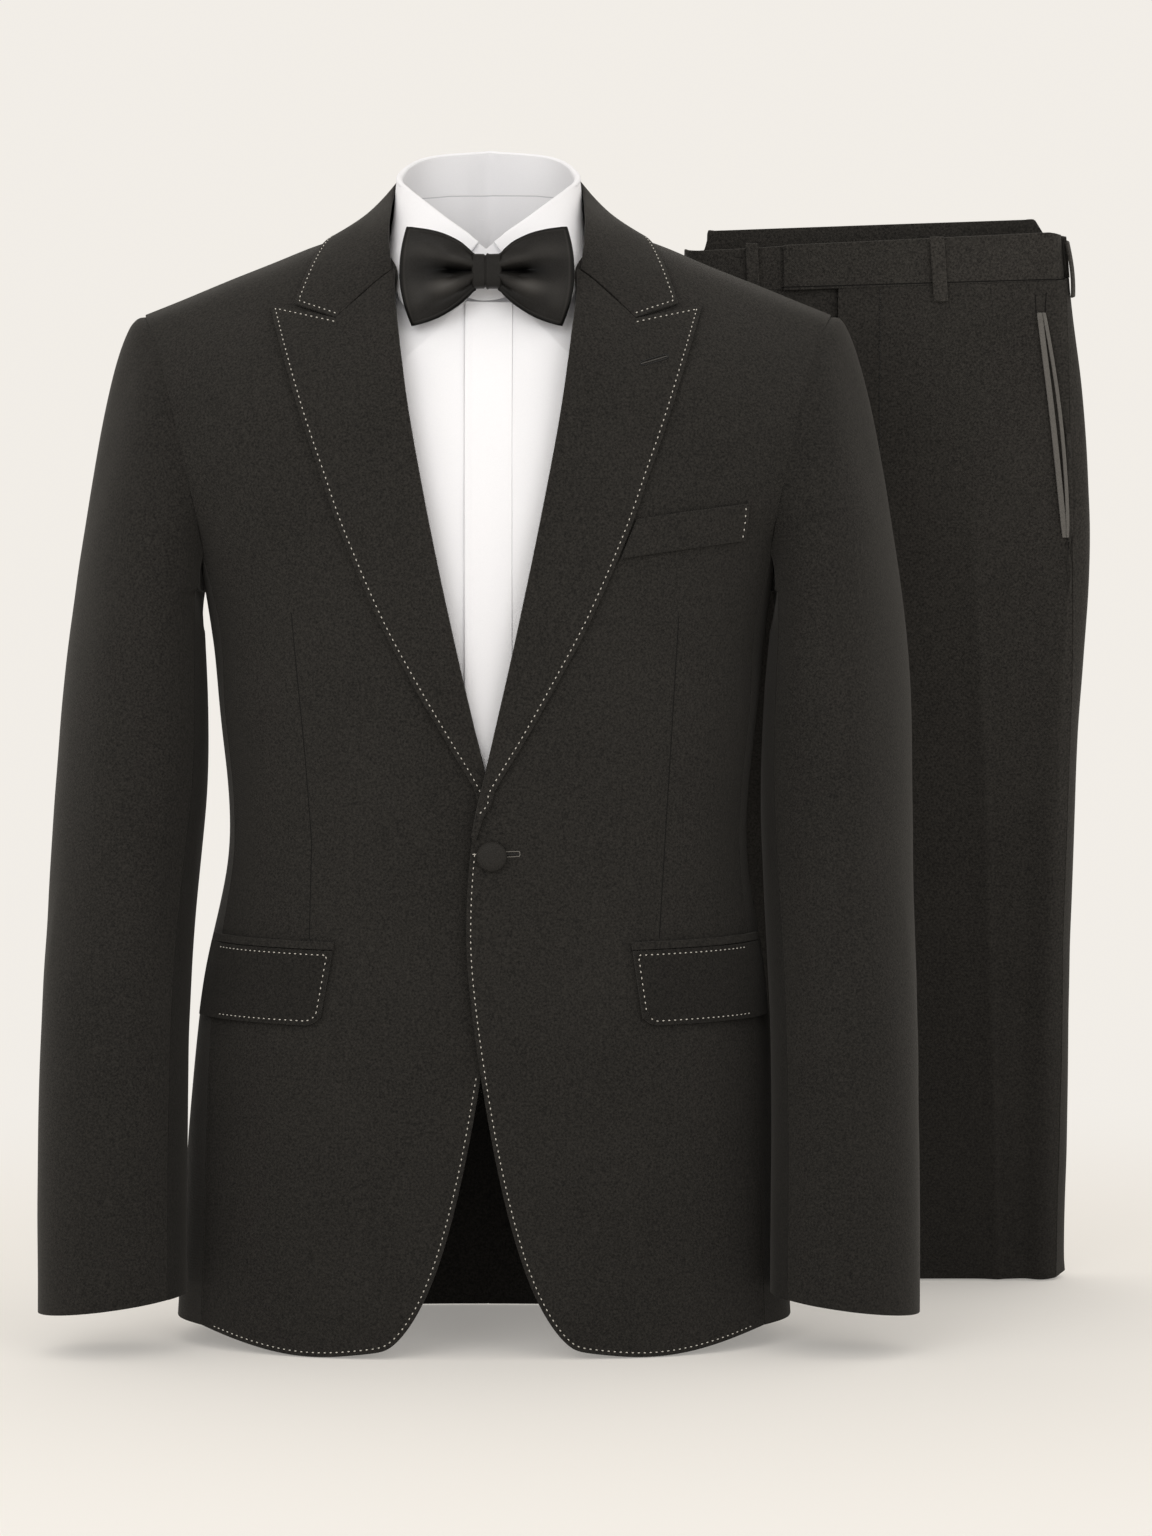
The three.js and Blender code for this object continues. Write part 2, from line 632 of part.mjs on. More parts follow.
function sleevePoint(v, phi) {
  const capShare = 0.34;
  if (v > capShare) {
    const low = cuffZ - cuffSlant * Math.cos(radians(phi));
    return sleeveSection(phi, mix(capZ, low, (v - capShare) / (1 - capShare)));
  }
  const t = (v / capShare) ** 1.15;
  const high = (1 + Math.cos(radians(phi))) / 2;
  const blend = (low, middle, top) => (
    high < 0.5 ? mix(low, middle, high * 2) : mix(middle, top, high * 2 - 1));
  const start = armholeStart(phi);
  const end = sleeveSection(phi, capZ);
  const leave = new THREE.Vector3(blend(2.2, 16, 18), -5 * Math.sin(radians(phi)), blend(-15, -14, 2));
  const arrive = new THREE.Vector3(blend(0.5, -6, -17), 0, blend(15, 60, 125));
  const [p1, p2] = [start.clone().add(leave), end.clone().add(arrive)];
  return new THREE.CubicBezierCurve3(start, p1, p2, end).getPoint(t);
}

function sleevePiece(name, side, from, to, count) {
  return surfaceWall({
    name, finish: 'wool', thickness: wool, outside: side,
    columns: steps(count),
    rows: [0, 0.04, 0.08, 0.13, 0.19, 0.26, 0.34, 0.45, 0.56, 0.67, 0.78, 0.89, 1],
    at: (v, u) => place(sleevePoint(v, (mix(from, to, u) + 360) % 360), side, sleeveLean),
  });
}

function sleeve(side) {
  const hand = side > 0 ? 'right' : 'left';
  const gap = 0.2;
  return [
    sleevePiece(`sleeve_top_${hand}`, side, hindSeam - 360 + gap, foreSeam - gap, 15),
    sleevePiece(`sleeve_under_${hand}`, side, foreSeam + gap, hindSeam - gap, 6),
  ];
}

// Shirt: fronts, placket and back to the waist, with a stand and a turned-down collar
const shirtHemZ = -480;
const placketEdges = [-13.3, 17.4];
const shirtNeck = table(['w', 'x', 'y'], [
  [0, 0, -82.6], [0.06, 10, -81.6], [0.12, 20, -78.6], [0.2, 33, -70.6], [0.4, 53, -42],
  [0.55, 58, 0], [0.75, 46, 38], [1, 0, 58],
]);
const shirtArmhole = table(['z', 'x'], [
  [-85, 212], [-110, 200], [-150, 190], [-200, 180], [-240, 174], [-275, 172],
]);

function shirtFront(side) {
  const rows = 13;
  const top = steps(6).map((t) => {
    const x = mix(208, 59, t);
    const z = shirtRidge.z(x);
    return [angleAt(shirtCut, x, z, false), z];
  });
  const edgeX = (side > 0 ? placketEdges[1] : -placketEdges[0]) + seamGap;
  const neck = [0.5, 0.4, 0.3, 0.2, 0.14, side > 0 ? 0.109 : 0.085].map((w) => {
    const [x, y] = [shirtNeck.x(w), shirtNeck.y(w)];
    const z = heightAt(shirtCut, x, y);
    return [angleAt(shirtCut, x, z, false), z];
  });
  const inner = [top[6], ...neck];
  const neckLow = neck[neck.length - 1][1] - 0.5;
  steps(rows - neck.length).forEach((t) => {
    const z = mix(neckLow, shirtHemZ, t);
    inner.push([angleAt(shirtCut, edgeX, z, false), z]);
  });
  const outer = steps(inner.length - 1).map((t) => {
    const z = mix(top[0][1], shirtHemZ, t ** 1.2);
    if (z < -275) return [-0.1, z];
    return [mix(angleAt(shirtCut, shirtArmhole.x(z), z, false), -0.1, ease((-235 - z) / 40)), z];
  });
  outer[0] = top[0];
  const end = inner.length - 1;
  const bottom = steps(6).map((t) => [mix(outer[end][0], inner[end][0], t), shirtHemZ]);
  return layPatch({
    name: side > 0 ? 'shirt_front_right' : 'shirt_front_left',
    finish: 'shirt', cut: shirtCut, cells: patch(top, bottom, outer, inner), side, thickness: shirting,
  });
}

function shirtPlacket() {
  const placketTop = heightAt(shirtCut, 0, shirtNeck.y(0)) - 0.5;
  const cells = steps(8).map((t) => steps(2).map((u) => {
    const z = mix(placketTop, shirtHemZ, t);
    return [angleAt(shirtCut, mix(...placketEdges, u), z, false), z];
  }));
  return layPatch({
    name: 'shirt_placket', finish: 'shirt', cut: shirtCut, cells, side: 1, thickness: shirting,
  });
}

function shirtBack() {
  const half = steps(5).map((t) => {
    const x = mix(208, 59, t);
    const z = shirtRidge.z(x);
    return [angleAt(shirtCut, x, z, true), z];
  });
  const neck = [0.63, 0.7, 0.78, 0.86, 0.93, 1].map((w) => {
    const [x, y] = [shirtNeck.x(w), shirtNeck.y(w)];
    const z = heightAt(shirtCut, x, y);
    return [angleAt(shirtCut, x, z, true), z];
  });
  const right = [...half, ...neck];
  const left = right.slice(0, -1).reverse().map(([angle, z]) => [180 - angle, z]);
  const top = [...right, ...left];
  const outer = steps(10).map((t) => {
    const z = mix(top[0][1], shirtHemZ, t ** 1.2);
    if (z < -275) return [0.1, z];
    return [mix(angleAt(shirtCut, shirtArmhole.x(z), z, true), 0.1, ease((-235 - z) / 40)), z];
  });
  const far = outer.map(([angle, z]) => [180 - angle, z]);
  const bottom = steps(top.length - 1).map((t) => [mix(0.1, 179.9, t), shirtHemZ]);
  return layPatch({
    name: 'shirt_back', finish: 'shirt', cut: shirtCut, cells: patch(top, bottom, outer, far), side: 1,
    thickness: shirting,
  });
}

const foldLine = table(['w', 'x', 'y', 'z'], [
  [0, 0, -68, -40], [0.1, 9, -66, -33], [0.2, 26, -55, -20], [0.32, 43, -33, -5],
  [0.45, 55, -7, 7], [0.58, 58.5, 14, 17], [0.78, 42, 48, 31], [1, 0, 65, 37],
]);
const leafLow = table(['w', 'x', 'y', 'z'], [
  [0.06, 45, -91, -89], [0.12, 53, -83, -78.5], [0.2, 59, -72, -66], [0.32, 63.6, -50, -45],
  [0.45, 64.6, -18, -26], [0.58, 61.3, 14, -19], [0.78, 45, 50, -9], [1, 0, 69.5, -5],
]);

function shirtStand() {
  return surfaceWall({
    name: 'shirt_collar_stand', finish: 'shirt', thickness: shirting, loop: true, outside: 1,
    columns: steps(28), rows: steps(3),
    at: (v, u) => {
      const turn = ((u % 1) + 1) % 1;
      const w = 1 - Math.abs(turn * 2 - 1);
      const side = turn > 0.5 ? -1 : 1;
      const seam = surfacePoint(shirtCut, shirtNeck.x(w) - 1, shirtNeck.y(w), 0);
      seam.z += 1.2;
      const fold = new THREE.Vector3(foldLine.x(w), foldLine.y(w), foldLine.z(w));
      return place(seam.lerp(fold, v), side);
    },
  });
}

function shirtLeaf() {
  return surfaceWall({
    name: 'shirt_collar_leaf', finish: 'shirt', thickness: shirting, outside: 1,
    columns: steps(24).map((t) => (t * 2 - 1) * 0.94),
    rows: steps(3),
    at: (v, u) => {
      const w = 1 - clamp(Math.abs(u), 0, 0.945);
      const fold = new THREE.Vector3(foldLine.x(w), foldLine.y(w), foldLine.z(w));
      const low = new THREE.Vector3(leafLow.x(w), leafLow.y(w), leafLow.z(w));
      const out = new THREE.Vector3(fold.x, fold.y, 0).normalize().multiplyScalar(2.2);
      fold.add(out).add(new THREE.Vector3(0, 0, 1));
      const point = fold.lerp(low, v);
      point.addScaledVector(out, 0.35 * Math.sin(Math.PI * v));
      return place(point, u < 0 ? -1 : 1);
    },
  });
}

// Bow tie: two folded wings and a knot, in front of the collar
const bow = { x: 4, z: -57, y: -95.3, halfWidth: 55.5, knotHalf: 9.6, knotHeight: 21.6 };
const wingRows = table(['t', 'high', 'low', 'depth'], [
  [0, 9.4, 9.4, 5], [0.15, 16.2, 15.6, 6.5], [0.36, 22, 23.2, 7.2], [0.6, 25.6, 28.7, 6.8],
  [0.85, 27.8, 33, 5.2], [1, 28.6, 34.8, 3.6],
]);
function bowWing(side) {
  const around = steps(18).slice(0, -1);
  const rings = steps(7).map((t) => around.map((share) => {
    const [c, s] = [Math.cos(share * 2 * Math.PI), Math.sin(share * 2 * Math.PI)];
    const lift = Math.sign(s) * Math.abs(s) ** 0.8;
    const height = lift * (lift > 0 ? wingRows.high(t) : wingRows.low(t));
    const bulge = 4.4 * t ** 3 * (1 - lift * lift);
    const tuck = lift < 0 ? 3.4 * t ** 3 * lift * lift : 0;
    const x = bow.knotHalf + seamGap + (bow.halfWidth - bow.knotHalf - 4.7) * t + bulge - tuck;
    const thick = wingRows.depth(t) * Math.sign(c) * Math.abs(c) ** 0.75;
    return new THREE.Vector3(bow.x + side * x, bow.y + thick + 1.5 * t, bow.z + height);
  }));
  return closedLoft(side > 0 ? 'bow_wing_right' : 'bow_wing_left', 'satin', rings);
}

function closedLoft(name, finish, rings) {
  const size = rings[0].length;
  const points = rings.flat();
  const faces = [];
  rings.slice(1).forEach((_, ring) => {
    for (let k = 0; k < size; k += 1) {
      const [a, b] = [ring * size + k, ring * size + (k + 1) % size];
      faces.push(a, b, b + size, a, b + size, a + size);
    }
  });
  [0, rings.length - 1].forEach((ring, end) => {
    const centre = rings[ring].reduce((sum, p) => sum.add(p), new THREE.Vector3()).divideScalar(size);
    points.push(centre);
    for (let k = 0; k < size; k += 1) {
      const [a, b] = [ring * size + k, ring * size + (k + 1) % size];
      if (end) faces.push(a, b, points.length - 1);
      else faces.push(b, a, points.length - 1);
    }
  });
  return solidMesh(name, finish, points, faces);
}

function bowKnot() {
  const rings = steps(6).map((t) => {
    const x = bow.x + mix(-bow.knotHalf, bow.knotHalf, t);
    const full = 1 - 0.06 * Math.abs(t * 2 - 1) ** 4;
    return steps(16).slice(0, -1).map((share) => {
      const [c, s] = [Math.cos(share * 2 * Math.PI), Math.sin(share * 2 * Math.PI)];
      return new THREE.Vector3(
        x,
        bow.y - 1 + 8 * full * Math.sign(c) * Math.abs(c) ** 0.5,
        bow.z + bow.knotHeight / 2 * full * Math.sign(s) * Math.abs(s) ** 0.45,
      );
    });
  });
  return closedLoft('bow_knot', 'satin', rings);
}

// Trousers in their own leaning plane: x as the suit's, rise up the slope, depth away from the viewer
const lean = Math.atan(0.216);
const legFoot = 233.2;
const trousers = new THREE.Group();
function leanPoint(x, rise, depth) {
  return new THREE.Vector3(
    x,
    legFoot - rise * Math.sin(lean) + depth * Math.cos(lean),
    floorZ + rise * Math.cos(lean) + depth * Math.sin(lean),
  );
}

const trouserLines = table(['rise', 'left', 'fly', 'crease', 'side', 'outer', 'depth'], [
  [0, 176, 244, 367.7, 411, 419.5, 44],
  [106, 171, 244, 363, 410.4, 417.5, 44],
  [213, 166, 244, 358, 410, 416.5, 43],
  [287, 163, 244, 354.5, 409.2, 416.5, 42],
  [389, 155, 243.5, 349.8, 410, 417, 40],
  [476, 148, 243, 343.8, 409.5, 420, 38],
  [547, 142, 242.6, 338.5, 407, 421.8, 36],
  [604, 138.5, 242.4, 335.5, 404.5, 418, 33],
  [646, 137, 242.3, 333, 402.5, 413.5, 31],
  [688, 136, 242.2, 331, 400.5, 406.5, 29],
  [722, 135.8, 242, 330, 399, 402.2, 27],
  [762, 136.5, 242, 330, 396, 398, 27],
]);
const creaseRidge = 2.4;

// The waistband's seam climbs a little towards the side
const bandSeam = 721;
const seamRise = (x) => bandSeam + 7 * clamp((x - 204) / 196);

// Depth of the front face below the leaning plane, rounding back at both edges
const edgeRadius = (rise) => trouserLines.depth(rise) / 2;
function faceDepth(x, rise) {
  const radius = edgeRadius(rise);
  const inward = Math.min(x - trouserLines.left(rise), trouserLines.outer(rise) - x);
  const past = clamp(radius - inward, 0, radius);
  const fromCrease = Math.abs(x - trouserLines.crease(rise));
  const ridgeLow = creaseRidge * (1 - Math.exp(-fromCrease / 9)) * ease((590 - rise) / 90);
  return radius - Math.sqrt(radius ** 2 - past ** 2) + ridgeLow * (1 - past / radius);
}

// Round a section: 0 to 1 across the front, to 2 round the outer edge, to 3 across the back, to 4 round
function roundTrousers(turn, rise, outward = 0) {
  const radius = edgeRadius(rise);
  const [left, right] = [trouserLines.left(rise) + radius, trouserLines.outer(rise) - radius];
  const part = ((turn % 4) + 4) % 4;
  const reach = radius + outward;
  if (part < 1) {
    const x = mix(left, right, part);
    return leanPoint(x, rise, faceDepth(x, rise) - outward);
  }
  if (part < 2) {
    const angle = Math.PI * (part - 1.5);
    return leanPoint(right + reach * Math.cos(angle), rise, radius + reach * Math.sin(angle));
  }
  if (part < 3) return leanPoint(mix(right, left, part - 2), rise, radius * 2 + outward);
  const angle = Math.PI * (part - 2.5);
  return leanPoint(left + reach * Math.cos(angle), rise, radius + reach * Math.sin(angle));
}

function frontTurn(x, rise) {
  const radius = edgeRadius(rise);
  const [left, right] = [trouserLines.left(rise) + radius, trouserLines.outer(rise) - radius];
  if (x > right) return 1 + Math.asin(clamp((x - right) / radius)) / Math.PI;
  if (x < left) return -Math.asin(clamp((left - x) / radius)) / Math.PI;
  return (x - left) / (right - left);
}

const edgeGap = 0.006;
const faceGap = 0.0014;
const legLow = 0.4;
function trouserPiece(name, turnAt, columns) {
  return surfaceWall({
    name, finish: 'wool', thickness: wool, outside: -1, columns, rows: steps(11),
    at: (v, u) => {
      const top = seamRise(roundTrousers(turnAt(u, bandSeam), bandSeam).x);
      const rise = mix(top, legLow, v);
      return roundTrousers(turnAt(u, rise), rise);
    },
  });
}

function trouserPieces() {
  const seam = (rise) => frontTurn(trouserLines.side(rise), rise);
  const fly = (rise) => frontTurn(trouserLines.fly(rise), rise);
  const crease = (rise) => frontTurn(trouserLines.crease(rise), rise);
  const farSeam = 3.6;
  const overTurn = (u, rise) => {
    if (u < 0.5) return mix(fly(rise), crease(rise), u * 2);
    return u < 0.8 ? mix(crease(rise), 1, (u - 0.5) / 0.3) : mix(1, seam(rise) - edgeGap, (u - 0.8) / 0.2);
  };
  const overColumns = [0, 0.12, 0.25, 0.38, 0.46, 0.5, 0.54, 0.62, 0.71, 0.8, 0.9, 1];
  const middle = 2.5;
  return [
    trouserPiece('trouser_front_over', overTurn, overColumns),
    trouserPiece('trouser_front_under', (u, rise) => (u < 0.4
      ? mix(farSeam - 4 + edgeGap, 0, u / 0.4)
      : mix(0, fly(rise) - faceGap, (u - 0.4) / 0.6)), steps(8)),
    trouserPiece('trouser_back_right', (u, rise) => (u < 0.4
      ? mix(seam(rise) + edgeGap, 2, u / 0.4)
      : mix(2, middle - faceGap / 2, (u - 0.4) / 0.6)), steps(8)),
    trouserPiece('trouser_back_left', (u) => (u < 0.6
      ? mix(middle + faceGap / 2, 3, u / 0.6)
      : mix(3, farSeam - edgeGap, (u - 0.6) / 0.4)), steps(8)),
  ];
}

// The folded-up lower legs and pocket bags share one rounded solid between front and back
function foldedLegs() {
  const margin = 3.2;
  const endRound = 6;
  const rises = [4, 12, 40, 110, 200, 290, 360, 430, 500, 560, 620, 670, 700];
  const rings = rises.map((rise) => {
    const [left, outer] = [trouserLines.left(rise) + margin + 2, trouserLines.outer(rise) - margin - 3];
    const pinch = rise < endRound || rise > rises[rises.length - 1] - endRound ? 0.75 : 1;
    const near = creaseRidge + wool + 2.2;
    const far = trouserLines.depth(rise) - wool - 0.7;
    return steps(22).slice(0, -1).map((share) => {
      const [c, s] = [Math.cos(share * 2 * Math.PI), Math.sin(share * 2 * Math.PI)];
      const x = (left + outer) / 2 + (outer - left) / 2 * pinch ** 0.2 * Math.sign(c) * Math.abs(c) ** 0.5;
      const depth = (near + far) / 2 + (far - near) / 2 * pinch * Math.sign(s) * Math.abs(s) ** 0.9;
      return leanPoint(x, rise, depth);
    });
  });
  return closedLoft('trouser_folded_legs', 'wool', rings);
}

// Waistbands, loops and pocket welts
const bandLift = 0.4;
function band(name, turns, riseHigh, sunk) {
  const [fromTurn, toTurn] = [turns[0], turns[turns.length - 1]];
  const columns = turns.map((turn) => (turn - fromTurn) / (toTurn - fromTurn));
  return surfaceWall({
    name, finish: 'wool', thickness: wool, outside: -1, columns, rows: steps(2),
    at: (v, u) => {
      const turn = mix(fromTurn, toTurn, u);
      const flat = roundTrousers(turn, bandSeam);
      const rise = mix(riseHigh(flat.x), seamRise(flat.x) + seamGap, v);
      return roundTrousers(turn, rise, bandLift - sunk(flat.x));
    },
  });
}

function waistbands() {
  const topRise = (x) => 748 + 12.5 * clamp((x - 136) / 264);
  const [backLeft, backRight, cornerRound] = [149, 387, 5];
  const backRise = (x) => {
    const full = 758.8 + 8.2 * clamp((x - backLeft) / (backRight - backLeft));
    const inside = ease((x - backLeft) / cornerRound) * ease((backRight - x) / cornerRound);
    return mix(topRise(x) - 4, full, inside);
  };
  const onBack = 1.5;
  const backTurns = [
    1.5, 1.75, 2, 2.025, 2.032, 2.038, 2.044, 2.052, 2.2, 2.4, 2.6, 2.8, 2.96, 2.976, 2.983, 2.99, 2.996,
    3.01, 3.25, 3.5,
  ].map((turn) => clamp(turn, onBack + edgeGap, onBack + 2 - edgeGap));
  const spread = (from, to, count) => steps(count).map((t) => mix(from, to, t));
  const atFly = frontTurn(242, 740);
  const atTab = frontTurn(204, 740);
  const underDeep = (x) => 2.7 * ease((x - 180) / 20);
  return [
    band('waistband_over', spread(atTab, onBack - edgeGap, 14), (x) => topRise(x) + 1, () => 0),
    band('waistband_under', spread(-onBack + 1 + edgeGap, atFly, 10), topRise, underDeep),
    band('waistband_back', backTurns, backRise, () => 0),
  ];
}

const loopThickness = 1.6;
const loopLift = loopThickness + 1;
function beltLoop(name, fromX, toX, riseLow, riseHigh) {
  return surfaceWall({
    name, finish: 'wool', thickness: loopThickness, outside: -1, columns: steps(2), rows: steps(4),
    at: (v, u) => leanPoint(mix(fromX, toX, u), mix(riseHigh, riseLow, v), -loopLift),
  });
}

// The side loop is seen edge-on, where the band turns to the back
function sideLoop() {
  return surfaceWall({
    name: 'belt_loop_side', finish: 'wool', thickness: loopThickness, outside: -1,
    columns: steps(3), rows: steps(3),
    at: (v, u) => roundTrousers(mix(1.32, 1.62, u), mix(757, 719, v), loopLift),
  });
}

function pocketWelts() {
  const lines = [
    { name: 'pocket_welt_front', top: 378.6, low: 400.6, width: 3.1 },
    { name: 'pocket_welt_side', top: 383.2, low: 405.2, width: 1.7 },
  ];
  return lines.map(({ name, top, low, width }) => surfaceWall({
    name, finish: 'welt', thickness: 1.2, outside: -1, columns: steps(1), rows: steps(8),
    at: (v, u) => {
      const rise = mix(705.8, 549.2, v);
      const x = mix(top, low, v) + 1.8 * Math.sin(Math.PI * v) + width * u;
      return leanPoint(x, rise, faceDepth(x, rise) - 2.6);
    },
  }));
}

// The whole suit
const suit = new THREE.Group();
suit.add(jacketFront(1), jacketFront(-1));
[1, -1].forEach((side) => {
  suit.add(jacketSide(side), jacketBack(side), ...sleeve(side), lapel(side), ...pocket(side));
});
suit.add(collarLeaf(), collarStand(), breastWelt(), button());
suit.add(shirtFront(1), shirtFront(-1), shirtPlacket(), shirtBack(), shirtStand(), shirtLeaf());
suit.add(bowWing(1), bowWing(-1), bowKnot());

trousers.add(
  ...trouserPieces(),
  foldedLegs(),
  ...waistbands(),
  beltLoop('belt_loop_left', 177.8, 187.4, 716, 753.5),
  beltLoop('belt_loop_front', 304.2, 316.2, 714, 758.2),
  sideLoop(),
  ...pocketWelts(),
);
suit.add(trousers);

export default suit;
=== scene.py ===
import math

import bmesh
import bpy
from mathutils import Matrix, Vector, noise
from mathutils.bvhtree import BVHTree


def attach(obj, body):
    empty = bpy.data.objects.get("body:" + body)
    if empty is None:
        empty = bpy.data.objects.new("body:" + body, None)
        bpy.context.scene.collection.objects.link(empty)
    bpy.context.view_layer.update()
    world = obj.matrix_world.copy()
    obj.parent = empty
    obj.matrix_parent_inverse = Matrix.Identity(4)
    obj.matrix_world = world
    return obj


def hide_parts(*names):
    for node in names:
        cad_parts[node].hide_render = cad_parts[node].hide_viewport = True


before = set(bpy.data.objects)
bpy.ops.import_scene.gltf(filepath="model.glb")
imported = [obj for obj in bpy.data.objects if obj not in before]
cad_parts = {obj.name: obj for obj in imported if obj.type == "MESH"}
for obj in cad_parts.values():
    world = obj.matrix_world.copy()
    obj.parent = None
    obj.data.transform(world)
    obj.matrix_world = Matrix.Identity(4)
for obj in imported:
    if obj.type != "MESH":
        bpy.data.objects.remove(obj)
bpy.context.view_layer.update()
print("frame loaded:", len(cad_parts), "pieces")

mm = 0.001


def unit(value):
    return max(0.0, min(1.0, value))


# camera, at the photograph's angle: a long lens a little above the middle of the suit
cameraView = {
    "x": 61.6, "y": -2900, "z": -295,   # mm in the suit's frame
    "pitchDown": 1.694,                 # degrees
    "focalPixels": 4328, "imageHeight": 1536,
}


def makeCamera():
    data = bpy.data.cameras.new("photoCamera")
    data.sensor_width = 36
    data.lens = 36 * cameraView["focalPixels"] / cameraView["imageHeight"]
    camera = bpy.data.objects.new("photoCamera", data)
    camera.location = Vector((cameraView["x"], cameraView["y"], cameraView["z"])) * mm
    camera.rotation_euler = (math.radians(90 - cameraView["pitchDown"]), 0, 0)
    bpy.context.collection.objects.link(camera)
    bpy.context.scene.camera = camera


makeCamera()

# studio: a wide pale floor that fades into the bright room, and soft lights in front and above
studio = {
    "floorZ": -760.6, "reach": 30000,             # mm
    "fadeStart": 420, "fadeEnd": 1500,            # mm from the middle of the suit
    "fadeLeast": 0.30,                            # share of the room's glow under the suit
    "middle": (110, 60),
    "floorColour": (0.93, 0.90, 0.855),
    "roomColour": (0.885, 0.85, 0.80), "roomStrength": 1.0,
}
softLights = [
    {"name": "keyLight", "place": (-1200, -2700, 900), "aim": (0, 0, -300), "size": 2.2, "watts": 25},
    {"name": "fillLight", "place": (1500, -2600, 500), "aim": (50, 0, -350), "size": 1.8, "watts": 11},
]


def makeStudio():
    reach = studio["reach"] * mm
    rim = [(reach * math.cos(math.radians(angle)), reach * math.sin(math.radians(angle)),
            studio["floorZ"] * mm) for angle in range(0, 360, 6)]
    mesh = bpy.data.meshes.new("floor")
    mesh.from_pydata(rim, [], [list(range(len(rim)))])
    floor = bpy.data.objects.new("floor", mesh)
    bpy.context.collection.objects.link(floor)
    world = bpy.data.worlds.new("brightRoom")
    world.use_nodes = True
    background = world.node_tree.nodes["Background"]
    background.inputs["Color"].default_value = (*studio["roomColour"], 1)
    background.inputs["Strength"].default_value = studio["roomStrength"]
    bpy.context.scene.world = world
    bpy.context.scene.view_settings.view_transform = "Standard"   # whites stay white
    for light in softLights:
        data = bpy.data.lights.new(light["name"], "AREA")
        data.shape = "DISK"
        data.size = light["size"]
        data.energy = light["watts"]
        lamp = bpy.data.objects.new(light["name"], data)
        lamp.location = Vector(light["place"]) * mm
        away = lamp.location - Vector(light["aim"]) * mm
        lamp.rotation_euler = away.to_track_quat("Z", "Y").to_euler()
        bpy.context.collection.objects.link(lamp)
    return floor


floor = makeStudio()
print("studio ready")


# Shader maths: a value wraps a socket, so that expressions on it add their own nodes
class Value:
    def __init__(self, shader, socket):
        self.shader = shader
        self.socket = socket

    def maths(self, operation, *others, clamp=False):
        return self.shader.maths(operation, self, *others, clamp=clamp)

    def __add__(self, other):
        return self.maths("ADD", other)

    __radd__ = __add__

    def __mul__(self, other):
        return self.maths("MULTIPLY", other)

    __rmul__ = __mul__

    def __sub__(self, other):
        return self.maths("SUBTRACT", other)

    def __rsub__(self, other):
        return self.shader.maths("SUBTRACT", other, self)

    def __truediv__(self, other):
        return self.maths("DIVIDE", other)

    def limited(self):           # kept between 0 and 1
        return self.maths("ADD", 0.0, clamp=True)


